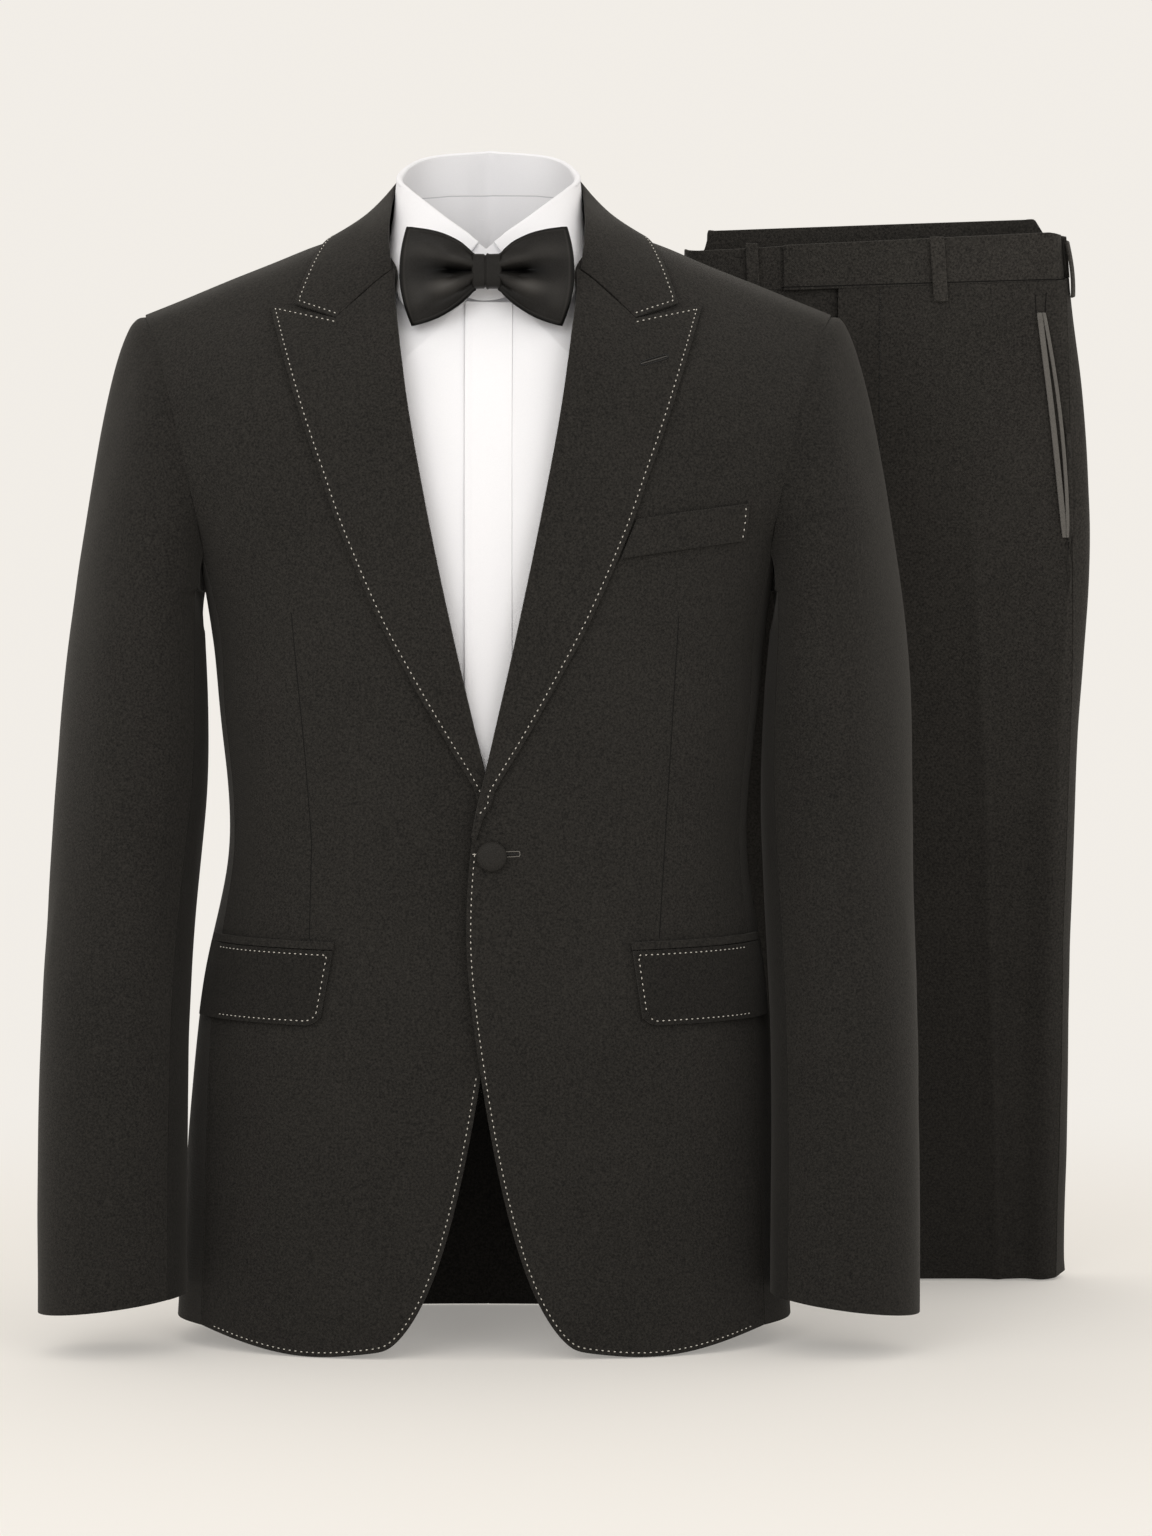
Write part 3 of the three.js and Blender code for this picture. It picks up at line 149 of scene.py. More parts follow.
class Shader:
    def __init__(self, name):
        self.material = bpy.data.materials.new(name)
        self.material.use_nodes = True
        self.tree = self.material.node_tree
        self.surface = self.tree.nodes["Principled BSDF"]

    def node(self, kind, settings=None, values=None):
        made = self.tree.nodes.new(kind)
        for key, value in (settings or {}).items():
            if key == "stops":
                self.setStops(made.color_ramp, value)
            else:
                setattr(made, key, value)
        for key, value in (values or {}).items():
            self.feed(made.inputs[key], value)
        return made

    def setStops(self, ramp, stops):
        while len(ramp.elements) > len(stops):
            ramp.elements.remove(ramp.elements[-1])
        while len(ramp.elements) < len(stops):
            ramp.elements.new(0.5)
        for element, (place, colour) in zip(ramp.elements, stops):
            element.position = place
            element.color = (*colour, 1)

    def feed(self, socket, value):
        if isinstance(value, Value):
            self.tree.links.new(value.socket, socket)
        elif isinstance(value, bpy.types.NodeSocket):
            self.tree.links.new(value, socket)
        else:
            socket.default_value = value

    def maths(self, operation, *values, clamp=False):
        made = self.node("ShaderNodeMath", {"operation": operation, "use_clamp": clamp})
        for place, value in enumerate(values):
            self.feed(made.inputs[place], value)
        return Value(self, made.outputs[0])

    def objectPoint(self):
        return self.node("ShaderNodeTexCoord").outputs["Object"]

    def axes(self):
        split = self.node("ShaderNodeSeparateXYZ", values={"Vector": self.objectPoint()})
        return [Value(self, split.outputs[axis]) for axis in "XYZ"]

    def grain(self, size, detail=2.0, roughness=0.5):
        scaled = self.node("ShaderNodeMapping", values={
            "Vector": self.objectPoint(), "Scale": [1 / (size * mm)] * 3})
        cloud = self.node("ShaderNodeTexNoise", values={
            "Vector": scaled.outputs[0], "Scale": 1.0, "Detail": detail, "Roughness": roughness})
        return Value(self, cloud.outputs[0])

    def blend(self, factor, first, second):
        mixed = self.node("ShaderNodeMix", {"data_type": "RGBA"})
        self.feed(mixed.inputs["Factor"], factor)
        for socket, colour in ((mixed.inputs[6], first), (mixed.inputs[7], second)):
            self.feed(socket, (*colour, 1) if isinstance(colour, tuple) else colour)
        return mixed.outputs[2]

    def segmentDistance(self, start, end):
        x, _, z = self.axes()
        (ax, az), (bx, bz) = [(px * mm, pz * mm) for px, pz in (start, end)]
        length = math.hypot(bx - ax, bz - az)
        dx, dz = (bx - ax) / length, (bz - az) / length
        along = (x - ax) * dx + (z - az) * dz
        inside = along.maths("MAXIMUM", 0.0).maths("MINIMUM", length)
        offX = x - ax - inside * dx
        offZ = z - az - inside * dz
        return (offX * offX + offZ * offZ).maths("SQRT")

    def lineMask(self, lines, halfWidth):
        nearest = None
        for line in lines:
            for start, end in zip(line, line[1:]):
                distance = self.segmentDistance(start, end)
                nearest = distance if nearest is None else nearest.maths("MINIMUM", distance)
        return (1 - nearest / (halfWidth * mm)).maths("MAXIMUM", 0.0)

    def finish(self, colour, roughness, height, bumpDepth, **constants):
        self.feed(self.surface.inputs["Base Color"], colour)
        self.feed(self.surface.inputs["Roughness"], roughness)
        if height is not None:
            bump = self.node("ShaderNodeBump", values={
                "Height": height, "Strength": 1.0, "Distance": bumpDepth * mm})
            self.feed(self.surface.inputs["Normal"], bump.outputs[0])
        for name, value in constants.items():
            self.surface.inputs[name].default_value = value
        return self.material


woolLook = {
    "dark": (0.0068, 0.0063, 0.0056), "light": (0.0272, 0.0251, 0.0222),
    "trouserPaintedLight": 1.34,        # painted light: the trousers stand further back and take a lighter copy of the same wool
    "lowShade": 0.86, "trouserLowShade": 0.62,   # painted shade: share of the tone left near the hems, darker towards the bottom
    "lowZ": -700, "lowSpan": 380,                # mm, where it is reached and over what height
    "fleckSize": 1.4,            # mm, of the mixed yarns
    "cloudSize": 60,             # mm, of the slow change of shade
    "twillPitch": 1.3,           # mm between twill lines
    "fuzzSize": 0.45,
    "mixture": {"flecks": 2.9, "clouds": 0.26, "twill": 0.045, "level": -1.07},
    "height": {"flecks": 0.55, "fuzz": 0.3, "twill": 0.12, "seam": 1.5},
    "roughness": 0.84, "fleckRoughness": 0.12,
    "bumpDepth": 0.28,
    "seamDark": (0.004, 0.0037, 0.0033),
}


def woolMaterial(name, seamLines=(), seamHalf=0.55, shade=1.0, lowShade=None):
    shader = Shader(name)
    # shade scales the tones: below 1 gives a painted-shade copy of the wool, above 1 a painted-light copy
    dark, light = (tuple(part * shade for part in woolLook[key]) for key in ("dark", "light"))
    x, y, z = shader.axes()
    flecks = shader.grain(woolLook["fleckSize"], detail=3.0, roughness=0.65)
    clouds = shader.grain(woolLook["cloudSize"], detail=2.0)
    fuzz = shader.grain(woolLook["fuzzSize"], detail=1.0)
    diagonal = (x + y * 0.8 + z * 1.2) * (2 * math.pi / (woolLook["twillPitch"] * mm))
    twill = diagonal.maths("SINE")
    mix, heights = woolLook["mixture"], woolLook["height"]
    mixture = flecks * mix["flecks"] + mix["level"] + clouds * mix["clouds"] + twill * mix["twill"]
    mixture = mixture.limited()
    colour = shader.blend(mixture, dark, light)
    # painted shade: the tones darken towards the hems
    hemShadeDark, hemShadeLight = (tuple(part * (lowShade or woolLook["lowShade"]) for part in tone)
                         for tone in (dark, light))
    rise = ((z - woolLook["lowZ"] * mm) / (woolLook["lowSpan"] * mm)).limited()
    colour = shader.blend(rise, shader.blend(mixture, hemShadeDark, hemShadeLight), colour)
    height = flecks * heights["flecks"] + fuzz * heights["fuzz"] + twill * heights["twill"]
    if seamLines:
        mask = shader.lineMask(seamLines, seamHalf)
        colour = shader.blend((mask * 1.6).maths("MINIMUM", 1.0), colour, woolLook["seamDark"])
        height = height - mask * heights["seam"]
    roughness = flecks * woolLook["fleckRoughness"] + woolLook["roughness"]
    return shader.finish(colour, roughness, height, woolLook["bumpDepth"], **{
        "Sheen Weight": 0.07, "Sheen Roughness": 0.5, "Sheen Tint": (1.0, 0.96, 0.9, 1),
        "Specular IOR Level": 0.14})


satinLook = {
    "dark": (0.0085, 0.0079, 0.0072), "light": (0.0215, 0.0201, 0.0184),
    "fleckSize": 0.8, "cloudSize": 14, "ribPitch": 0.9,      # mm
    "roughness": 0.42, "bumpDepth": 0.06,
    "hollowPaintedShade": (0.0007, 0.0007, 0.0006), "crestPaintedHighlight": (0.062, 0.0585, 0.0545),
}


def satinMaterial(name, dark, light, roughness, folded=False):
    shader = Shader(name)
    x, _, z = shader.axes()
    fleck = shader.grain(satinLook["fleckSize"], detail=3.0, roughness=0.6)
    cloud = shader.grain(satinLook["cloudSize"], detail=1.0)
    ribs = ((x * 0.35 + z) * (2 * math.pi / (satinLook["ribPitch"] * mm))).maths("SINE")
    colour = shader.blend((fleck * 1.5 - 0.35 + ribs * 0.05).limited(), dark, light)
    if folded:                   # the wing's own attribute paints light: painted shade below zero in a hollow, a painted highlight above zero on a crest
        attribute = shader.node("ShaderNodeAttribute", {"attribute_name": "relief"})
        relief = Value(shader, attribute.outputs["Fac"])
        colour = shader.blend(relief.limited(), colour, satinLook["crestPaintedHighlight"])
        colour = shader.blend((relief * -1.0).limited(), colour, satinLook["hollowPaintedShade"])
    return shader.finish(colour, cloud * 0.08 + fleck * 0.1 + roughness - 0.09,
                         fleck * 0.4 + ribs * 0.3, satinLook["bumpDepth"], **{
                             "Sheen Weight": 0.02, "Sheen Roughness": 0.35,
                             "Specular IOR Level": 0.11})


shirtLook = {
    "dark": (0.83, 0.83, 0.86), "light": (0.91, 0.91, 0.935), "seam": (0.42, 0.42, 0.45),
    "insideShade": 0.86,         # painted shade: the neck's inside is a little greyer
    "weavePitch": 0.55, "fineSize": 0.5, "seamHalf": 0.5,    # mm
}


def shirtMaterial(name, seamLines=(), shade=1.0):
    shader = Shader(name)
    dark, light = (tuple(part * shade for part in shirtLook[key]) for key in ("dark", "light"))
    x, y, z = shader.axes()
    fine = shader.grain(shirtLook["fineSize"], detail=1.0)
    turn = 2 * math.pi / (shirtLook["weavePitch"] * mm)
    weave = ((x + y) * turn).maths("SINE") * (z * turn).maths("SINE")
    thread = (fine + weave * 0.08).limited()
    colour = shader.blend(thread, shirtLook["dark"], shirtLook["light"])
    if shade < 1:                # painted shade: greyer behind the middle of the neck
        behind = (y / (40 * mm) + 0.9).limited()
        colour = shader.blend(behind, colour, shader.blend(thread, dark, light))
    height = fine * 0.3 + weave * 0.2
    if seamLines:
        mask = shader.lineMask(seamLines, shirtLook["seamHalf"])
        colour = shader.blend((mask * 1.2).maths("MINIMUM", 0.75), colour, shirtLook["seam"])
        height = height - mask * 2.0
    return shader.finish(colour, fine * 0.1 + 0.66, height, 0.08, **{"Specular IOR Level": 0.3})


def threadMaterial(name, colour):
    shader = Shader(name)
    twist = shader.grain(0.3, detail=1.0)
    dark = tuple(part * 0.7 for part in colour)
    return shader.finish(shader.blend(twist, dark, colour), 0.62, twist, 0.05)


# lines of seams and stitches across the cloth, x and z in mm
dartLeft = [(-122.5, -278), (-121, -297), (-114.3, -369), (-110, -426), (-111.5, -489)]
dartRight = [(128, -280), (122.6, -373), (115.6, -488.5)]
bandSeam = [[(203, -53), (399, -47.3)]]
jStitch = [(270.5, -55), (271, -100), (272.8, -214)]
pocketDart = [[(378, -70), (377, -58)], [(384, -70), (384.6, -57)]]
collarSeam = [[(-50, 2.4), (-25, 6), (5, 7.4), (35, 6), (60, 2.4)]]

materials = {
    "wool": woolMaterial("suitWool"),
    # painted shade: the under-sleeves take a darker copy of the same wool
    "woolUnderPaintedShade": woolMaterial("sleeveUnderWoolPaintedShade", shade=0.6),
    # painted shade: the pocket flaps take a darker copy of the same wool
    "woolFlapPaintedShade": woolMaterial("flapWoolPaintedShade", shade=0.78),
    # painted shade: the sleeves take a slightly darker copy of the same wool
    "woolSleevePaintedShade": woolMaterial("sleeveWoolPaintedShade", shade=0.93),
    # painted light: the trousers, their waistband and their loops take lighter copies of the same wool
    "trouser": woolMaterial("trouserWoolPaintedLight", shade=woolLook["trouserPaintedLight"],
                            lowShade=woolLook["trouserLowShade"]),
    "trouserFront": woolMaterial(
        "trouserWoolPocket", pocketDart + bandSeam, 0.55, woolLook["trouserPaintedLight"],
        woolLook["trouserLowShade"]),
    "band": woolMaterial("waistbandWoolPaintedLight", bandSeam, 0.6, woolLook["trouserPaintedLight"] * 1.12),
    "loop": woolMaterial("loopWoolPaintedLight", shade=woolLook["trouserPaintedLight"] * 1.3),
    "woolFrontOver": woolMaterial("suitWoolDartRight", [dartRight]),
    "woolFrontUnder": woolMaterial("suitWoolDartLeft", [dartLeft]),
    "satin": satinMaterial("bowSatin", satinLook["dark"], satinLook["light"], satinLook["roughness"]),
    "wing": satinMaterial(
        "bowWingSatin", satinLook["dark"], satinLook["light"], satinLook["roughness"], folded=True),
    "button": satinMaterial("buttonCloth", (0.009, 0.0083, 0.0074), (0.034, 0.0315, 0.028), 0.6),
    "welt": satinMaterial("weltSatin", (0.085, 0.08, 0.073), (0.16, 0.152, 0.14), 0.42),
    "shirt": shirtMaterial("shirtPoplin"),
    "placket": shirtMaterial("shirtPlacketPoplin"),
    "stand": shirtMaterial("shirtStandPoplin", collarSeam, shade=shirtLook["insideShade"]),
    "pickThread": threadMaterial("pickThread", (0.62, 0.59, 0.53)),
    "holeThread": threadMaterial("holeThread", (0.20, 0.188, 0.165)),
    "darkThread": threadMaterial("darkThread", (0.003, 0.0028, 0.0025)),
    "slitThread": threadMaterial("slitThread", (0.06, 0.056, 0.05)),
}


def makeFloorMaterial():
    shader = Shader("paleFloor")
    x, y, _ = shader.axes()
    offX = x - studio["middle"][0] * mm
    offY = y - studio["middle"][1] * mm
    distance = (offX * offX + offY * offY).maths("SQRT")
    span = (studio["fadeEnd"] - studio["fadeStart"]) * mm
    share = ((distance - studio["fadeStart"] * mm) / span).limited()
    fade = share * share * (3 - share * 2) * (1 - studio["fadeLeast"]) + studio["fadeLeast"]
    cloud = shader.grain(900, detail=2.0)
    low = tuple(part * 0.985 for part in studio["floorColour"])
    shader.finish(shader.blend(cloud, low, studio["floorColour"]), 0.9, None, 0)
    glow = shader.node("ShaderNodeEmission", values={"Color": (*studio["roomColour"], 1)})
    mixed = shader.node("ShaderNodeMixShader", values={
        0: fade, 1: shader.surface.outputs[0], 2: glow.outputs[0]})
    shader.feed(shader.tree.nodes["Material Output"].inputs["Surface"], mixed.outputs[0])
    floor.data.materials.append(shader.material)


makeFloorMaterial()
print("materials ready:", len(materials))


# Cloth: the outer face of each wall is lifted off its node, refined through its own points,
# shaped by the folds, and given its thickness back with a small round on its cut edges
lifting = {
    "weld": 0.002,               # mm
    "wallTurn": 52,              # degrees between the face of a wall and its cut edge, at the least
    "joinTurn": 50, "joinShape": 80, "rimCorner": 32,        # degrees
    "alike": 1.004,              # a wall's two faces may be as near in area as this
}


def joinQuads(built, turn):
    bmesh.ops.join_triangles(
        built, faces=built.faces, angle_face_threshold=math.radians(turn),
        angle_shape_threshold=math.radians(lifting["joinShape"]), cmp_seam=False, cmp_sharp=False,
        cmp_uvs=False, cmp_vcols=False, cmp_materials=False)


def groupArea(group):
    return sum(face.calc_area() for face in group)


def groupTurn(group):            # below zero where the group looks to the front
    return sum(face.normal.y * face.calc_area() for face in group)


def outerFace(node):
    built = bmesh.new()
    built.from_mesh(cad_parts[node].data)
    bmesh.ops.remove_doubles(built, verts=built.verts, dist=lifting["weld"] * mm)
    for edge in built.edges:
        edge.smooth = edge.calc_face_angle(0) < math.radians(lifting["wallTurn"])
    built.faces.ensure_lookup_table()
    seen, groups = set(), []
    for face in built.faces:
        if face.index in seen:
            continue
        group, stack = [], [face]
        seen.add(face.index)
        while stack:
            current = stack.pop()
            group.append(current)
            for edge in current.edges:
                if not edge.smooth:
                    continue
                for other in edge.link_faces:
                    if other.index not in seen:
                        seen.add(other.index)
                        stack.append(other)
        groups.append(group)
    groups.sort(key=groupArea, reverse=True)
    first, second = groups[0], groups[1]
    alike = groupArea(first) < groupArea(second) * lifting["alike"]
    if alike and groupTurn(second) < groupTurn(first):
        first = second
    drop = set(built.faces) - set(first)
    bmesh.ops.delete(built, geom=list(drop), context="FACES")
    joinQuads(built, lifting["joinTurn"])
    corners = built.verts.layers.float.new("crease_vert")
    for vertex in built.verts:
        rim = [edge for edge in vertex.link_edges if edge.is_boundary]
        if len(rim) == 2:
            one, two = [edge.other_vert(vertex).co - vertex.co for edge in rim]
            if one.angle(-two, 0) > math.radians(lifting["rimCorner"]):
                vertex[corners] = 1
    mesh = bpy.data.meshes.new(node + "_face")
    built.to_mesh(mesh)
    built.free()
    return mesh


def evaluated(thing):
    graph = bpy.context.evaluated_depsgraph_get()
    return bpy.data.meshes.new_from_object(thing.evaluated_get(graph))


def subdivide(thing, level):
    smooth = thing.modifiers.new("smooth", "SUBSURF")
    smooth.levels = smooth.render_levels = level
    return smooth


def refine(mesh, level):
    thing = bpy.data.objects.new("refining", mesh)
    bpy.context.collection.objects.link(thing)
    subdivide(thing, level).boundary_smooth = "PRESERVE_CORNERS"
    wanted = [vertex.co.copy() for vertex in mesh.vertices]
    for _ in range(4):
        fine = evaluated(thing)
        for vertex, target in zip(mesh.vertices, wanted):
            vertex.co += target - fine.vertices[vertex.index].co
        bpy.data.meshes.remove(fine)
        mesh.update()
        thing.update_tag()
        bpy.context.view_layer.update()
    fine = evaluated(thing)
    bpy.data.objects.remove(thing)
    bpy.data.meshes.remove(mesh)
    return fine


def polylineDistance(x, z, line):
    best = 1e9
    share = 0.0
    for index, ((ax, az), (bx, bz)) in enumerate(zip(line, line[1:])):
        dx, dz = bx - ax, bz - az
        t = unit(((x - ax) * dx + (z - az) * dz) / (dx * dx + dz * dz))
        distance = math.hypot(x - ax - dx * t, z - az - dz * t)
        if distance < best:
            best = distance
            share = (index + t) / (len(line) - 1)
    return best, share


# soft folds, each along a line of x and z in mm; lift is towards the viewer, and fades at the ends
folds = [
    {"line": dartLeft, "width": 5, "lift": -0.7},
    {"line": dartRight, "width": 5, "lift": -0.7},
    {"line": [(-30, -440), (-75, -455), (-120, -480)], "width": 22, "lift": 1.2},
    {"line": [(30, -440), (80, -452), (135, -475)], "width": 22, "lift": 1.2},
    {"line": [(-20, -470), (-60, -520), (-90, -600)], "width": 30, "lift": -1.4},
    {"line": [(35, -480), (75, -560), (95, -640)], "width": 30, "lift": -1.4},
    {"line": [(-246, -330), (-238, -420), (-252, -500), (-247, -640)], "width": 20, "lift": 1.5},
    {"line": [(-266, -250), (-262, -380), (-270, -470)], "width": 14, "lift": -1.2},
    {"line": [(244, -330), (236, -430), (250, -520), (246, -650)], "width": 20, "lift": 1.5},
    {"line": [(265, -260), (262, -380), (270, -480)], "width": 14, "lift": -1.2},
    {"line": [(-185, -180), (-160, -250), (-150, -330)], "width": 26, "lift": -1.6},
    {"line": [(190, -190), (166, -260), (156, -330)], "width": 26, "lift": -1.6},
]
woolWaves = [(110, 0.8), (42, 0.28)]       # wavelength and height of slow unevenness, mm
shirtWaves = [(75, 0.9), (30, 0.35)]


def clothOffset(point, waves, withFolds):
    x, y, z = (part / mm for part in point)
    lift = 0.0
    for length, height in waves:
        lift += height * noise.noise(Vector((x, y, z)) / length)
    if withFolds and y < 40:
        for fold in folds:
            distance, share = polylineDistance(x, z, fold["line"])
            if distance < fold["width"] * 2.4:
                ends = min(1.0, 5 * share, 5 * (1 - share))
                lift += fold["lift"] * ends * math.exp(-((distance / fold["width"]) ** 2))
    return lift * mm


def addPiece(name, mesh, material):
    thing = bpy.data.objects.new(name, mesh)
    bpy.context.collection.objects.link(thing)
    mesh.materials.clear()
    mesh.materials.append(material)
    mesh.polygons.foreach_set("use_smooth", [True] * len(mesh.polygons))
    return thing


def rimPoints(mesh):
    built = bmesh.new()
    built.from_mesh(mesh)
    built.normal_update()
    loops, used = [], set()
    for edge in built.edges:
        if not edge.is_boundary or edge in used:
            continue
        loop, vertex, current = [], edge.verts[0], edge
        while current not in used:
            used.add(current)
            loop.append((vertex, current))
            vertex = current.other_vert(vertex)
            following = [e for e in vertex.link_edges if e.is_boundary and e not in used]
            if not following:
                break
            current = following[0]
        points = []
        for vertex, current in loop:
            middle = current.link_faces[0].calc_center_median()
            along = (current.other_vert(vertex).co - vertex.co).normalized()
            inward = vertex.normal.cross(along).normalized()
            if inward.dot(middle - vertex.co) < 0:
                inward = -inward
            points.append((vertex.co.copy(), inward, vertex.normal.copy()))
        loops.append(points)
    built.free()
    return loops


def reachSeams(mesh, reach):
    built = bmesh.new()
    built.from_mesh(mesh)
    moves = {}
    for edge in built.edges:
        if not edge.is_boundary:
            continue
        one, two = edge.verts
        face = edge.link_faces[0]
        outward = (two.co - one.co).cross(face.normal).normalized()
        if outward.dot(face.calc_center_median() - one.co) > 0:
            outward = -outward
        for vertex in edge.verts:
            moves[vertex] = moves.get(vertex, Vector()) + outward
    for vertex, move in moves.items():
        vertex.co += move.normalized() * reach * mm
    built.to_mesh(mesh)
    built.free()


# evens out a panel's bends away from its edges
def smoothInside(mesh, rounds):
    built = bmesh.new()
    built.from_mesh(mesh)
    inner = [vertex for vertex in built.verts if not vertex.is_boundary]
    for _ in range(rounds):
        bmesh.ops.smooth_vert(built, verts=inner, factor=0.5, use_axis_x=True, use_axis_y=True,
                              use_axis_z=True)
    built.to_mesh(mesh)
    built.free()


# the edge loops, the face and the flat area of each sheet, for the stitches and the sheets' areas worked out
# at the end
rims = {}
faces = {}
flatAreas = {}
plainCloth = {
    "look": "wool", "thickness": 2.0, "level": 3, "edgeRound": 0.45, "folds": True,
    "reach": 0.14,          # mm that a cut edge reaches out, so that two panels close at their seam
}


def thicken(thing, thickness, edgeRound):
    wall = thing.modifiers.new("wall", "SOLIDIFY")
    wall.thickness = thickness * mm
    wall.offset = -1
    wall.use_even_offset = False
    soft = thing.modifiers.new("soft", "BEVEL")
    soft.width = edgeRound * mm
    soft.segments = 2
    soft.limit_method = "ANGLE"
    soft.angle_limit = math.radians(55)
    bakePiece(thing)


def clothPiece(node, entry):
    facts = {**plainCloth, **entry}
    mesh = refine(outerFace(node), facts["level"])
    if facts.get("smoothing"):
        smoothInside(mesh, facts["smoothing"])
    flatAreas[node] = sum(face.area for face in mesh.polygons)
    reachSeams(mesh, facts["reach"])
    mesh.update()
    normals = [vertex.normal.copy() for vertex in mesh.vertices]
    for vertex, normal in zip(mesh.vertices, normals):
        lift = clothOffset(vertex.co, facts.get("waves", woolWaves), facts["folds"])
        if "shape" in facts:
            lift += facts["shape"](*(vertex.co / mm)) * mm
        vertex.co += normal * lift
        if "move" in facts:
            vertex.co += Vector(facts["move"](*(vertex.co / mm))) * mm
    mesh.update()
    rims[node] = rimPoints(mesh)
    faces[node] = BVHTree.FromPolygons(
        [vertex.co for vertex in mesh.vertices], [face.vertices[:] for face in mesh.polygons])
    thing = addPiece("cloth_" + node, mesh, materials[facts["look"]])
    thicken(thing, facts["thickness"], facts["edgeRound"])
    bpy.data.meshes.remove(mesh)
    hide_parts(node)
    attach(thing, "root")
    slotOf(facts["look"])
    return thing


def bakePiece(thing):
    solid = evaluated(thing)
    thing.modifiers.clear()
    thing.data = solid
    solid.name = thing.name


def slotOf(look):
    if look in ("shirt", "placket", "stand"):
        return "shirt_cloth"
    if look in ("satin", "button"):
        return "satin"
    return "welt_satin" if look == "welt" else "suit_wool"


def smoothTable(rows, place):
    for one, two in zip(rows, rows[1:]):
        if place <= two[0]:
            t = max(0.0, (place - one[0]) / (two[0] - one[0]))
            return [p + (q - p) * t for p, q in zip(one[1:], two[1:])]
    return list(rows[-1][1:])


# a narrow raised edge or a sunk seam across a panel
def ridge(distance, width, height):
    return height * math.exp(-((distance / width) ** 2))


# the placket's left fold stands up from the shirt's front, and its right side lies flatter
placketForm = {"left": -9, "width": 30, "high": 1.7, "fall": 1.2, "edge": -8.4}      # mm


def placketShape(x, y, z):
    across = unit((x - placketForm["left"]) / placketForm["width"])
    return placketForm["high"] - placketForm["fall"] * across + ridge(x - placketForm["edge"], 1.3, 0.6)


# the stand's lower edge goes on down inside the back of the neck, as the yoke's facing does
neckFacing = {"front": -10, "fade": 30, "top": 22, "height": 40, "forward": 5, "drop": 31}   # mm


def facingMove(x, y, z):
    if y < neckFacing["front"]:
        return (0, 0, 0)
    low = unit((neckFacing["top"] - z) / neckFacing["height"])
    low *= min(1.0, (y - neckFacing["front"]) / neckFacing["fade"])
    return (0, -neckFacing["forward"] * low, -neckFacing["drop"] * low)


# under the fly and the waistband's tab, the far front is sunk
underFly = {"side": 190, "sideSpan": 14, "low": -230, "lowSpan": 60, "sunk": 4.2}    # mm


def underFlyShape(x, y, z):
    side = unit((x - underFly["side"]) / underFly["sideSpan"])
    low = unit((z - underFly["low"]) / underFly["lowSpan"])
    return -underFly["sunk"] * side * low


# the pocket's two welts meet at its ends and part in the middle
pocketMouth = {"high": -70.0, "low": -223.5}


def weltMove(side):
    def move(x, y, z):
        share = unit((pocketMouth["high"] - z) / (pocketMouth["high"] - pocketMouth["low"]))
        opened = math.sin(math.pi * min(1.0, share * 1.02)) ** 0.7
        if side < 0:
            return (-1.0 * opened + 0.2 * (1 - opened) - 0.4 * share, 0, 0)
        return (0.8 * opened - 1.0 * (1 - opened) - 0.9 * share, -0.5, 0)
    return move


# the sleeve's head is drawn in to close on the armhole
armhole = {
    "rows": [(-70, 232), (-97, 221), (-125, 213.5), (-144, 208.5), (-165, 203.5), (-188, 199.5),
             (-212, 195), (-238, 190), (-256, 191)],         # height and half width, mm
    "end": -262, "reach": 9,
    "draw": 1.5, "lowDraw": 0.8, "low": -140, "lowSpan": 40,     # mm, with more draw below
}


def sleeveMove(side):
    def move(x, y, z):
        if z < armhole["end"]:
            return (0, 0, 0)
        half = smoothTable([(-height, place) for height, place in armhole["rows"]], -z)[0]
        near = max(0.0, 1 - max(0.0, side * x - half - 1) / armhole["reach"])
        low = unit((armhole["low"] - z) / armhole["lowSpan"])
        return (-side * (armhole["draw"] + armhole["lowDraw"] * low) * near, 0, 0)
    return move


# the waistband's front corner is a little rounded
bandCorner = {"x": 384, "wide": 16, "z": -42, "tall": 20, "back": 3.8, "drop": 4.2}  # mm


def frontBandMove(x, y, z):
    near = unit((x - bandCorner["x"]) / bandCorner["wide"])
    high = unit((z - bandCorner["z"]) / bandCorner["tall"])
    return (-bandCorner["back"] * near, 0, -bandCorner["drop"] * near * near * high)


# loops: narrower than their solids, a little skewed, and clear of the band
loopForm = {"middle": -40, "low": -66, "height": 52, "bow": 2.4, "in": 0.8, "drop": 3.5}      # mm


def loopMove(middle, narrow, lean, out):
    def move(x, y, z):
        return ((middle - x) * narrow - (z - loopForm["middle"]) * lean, -out, 0)
    return move


def sideLoopMove(x, y, z):
    share = unit((z - loopForm["low"]) / loopForm["height"])
    return (loopForm["bow"] * math.sin(math.pi * share) - loopForm["in"], 0, -loopForm["drop"])


sleeveFacts = {"look": "woolSleevePaintedShade", "cut": (270, 680), "edgeRound": 0.7}
underFacts = {"look": "woolUnderPaintedShade", "cut": (160, 620), "edgeRound": 0.7}
flapFacts = {"look": "woolFlapPaintedShade", "thickness": 2.4, "edgeRound": 0.8, "cut": (110, 52)}
jetFacts = {"thickness": 2.8, "edgeRound": 1.3, "cut": (110, 10)}
shirtFacts = {"look": "shirt", "thickness": 1.5, "waves": shirtWaves, "folds": False}
trouserFacts = {"look": "trouser", "folds": False, "cut": (210, 740)}
bandFacts = {"look": "band", "folds": False, "reach": 0.0}
loopFacts = {"look": "loop", "thickness": 1.6, "edgeRound": 0.6, "folds": False, "cut": (10, 44)}
weltFacts = {"look": "welt", "thickness": 1.2, "folds": False, "reach": 0.45}

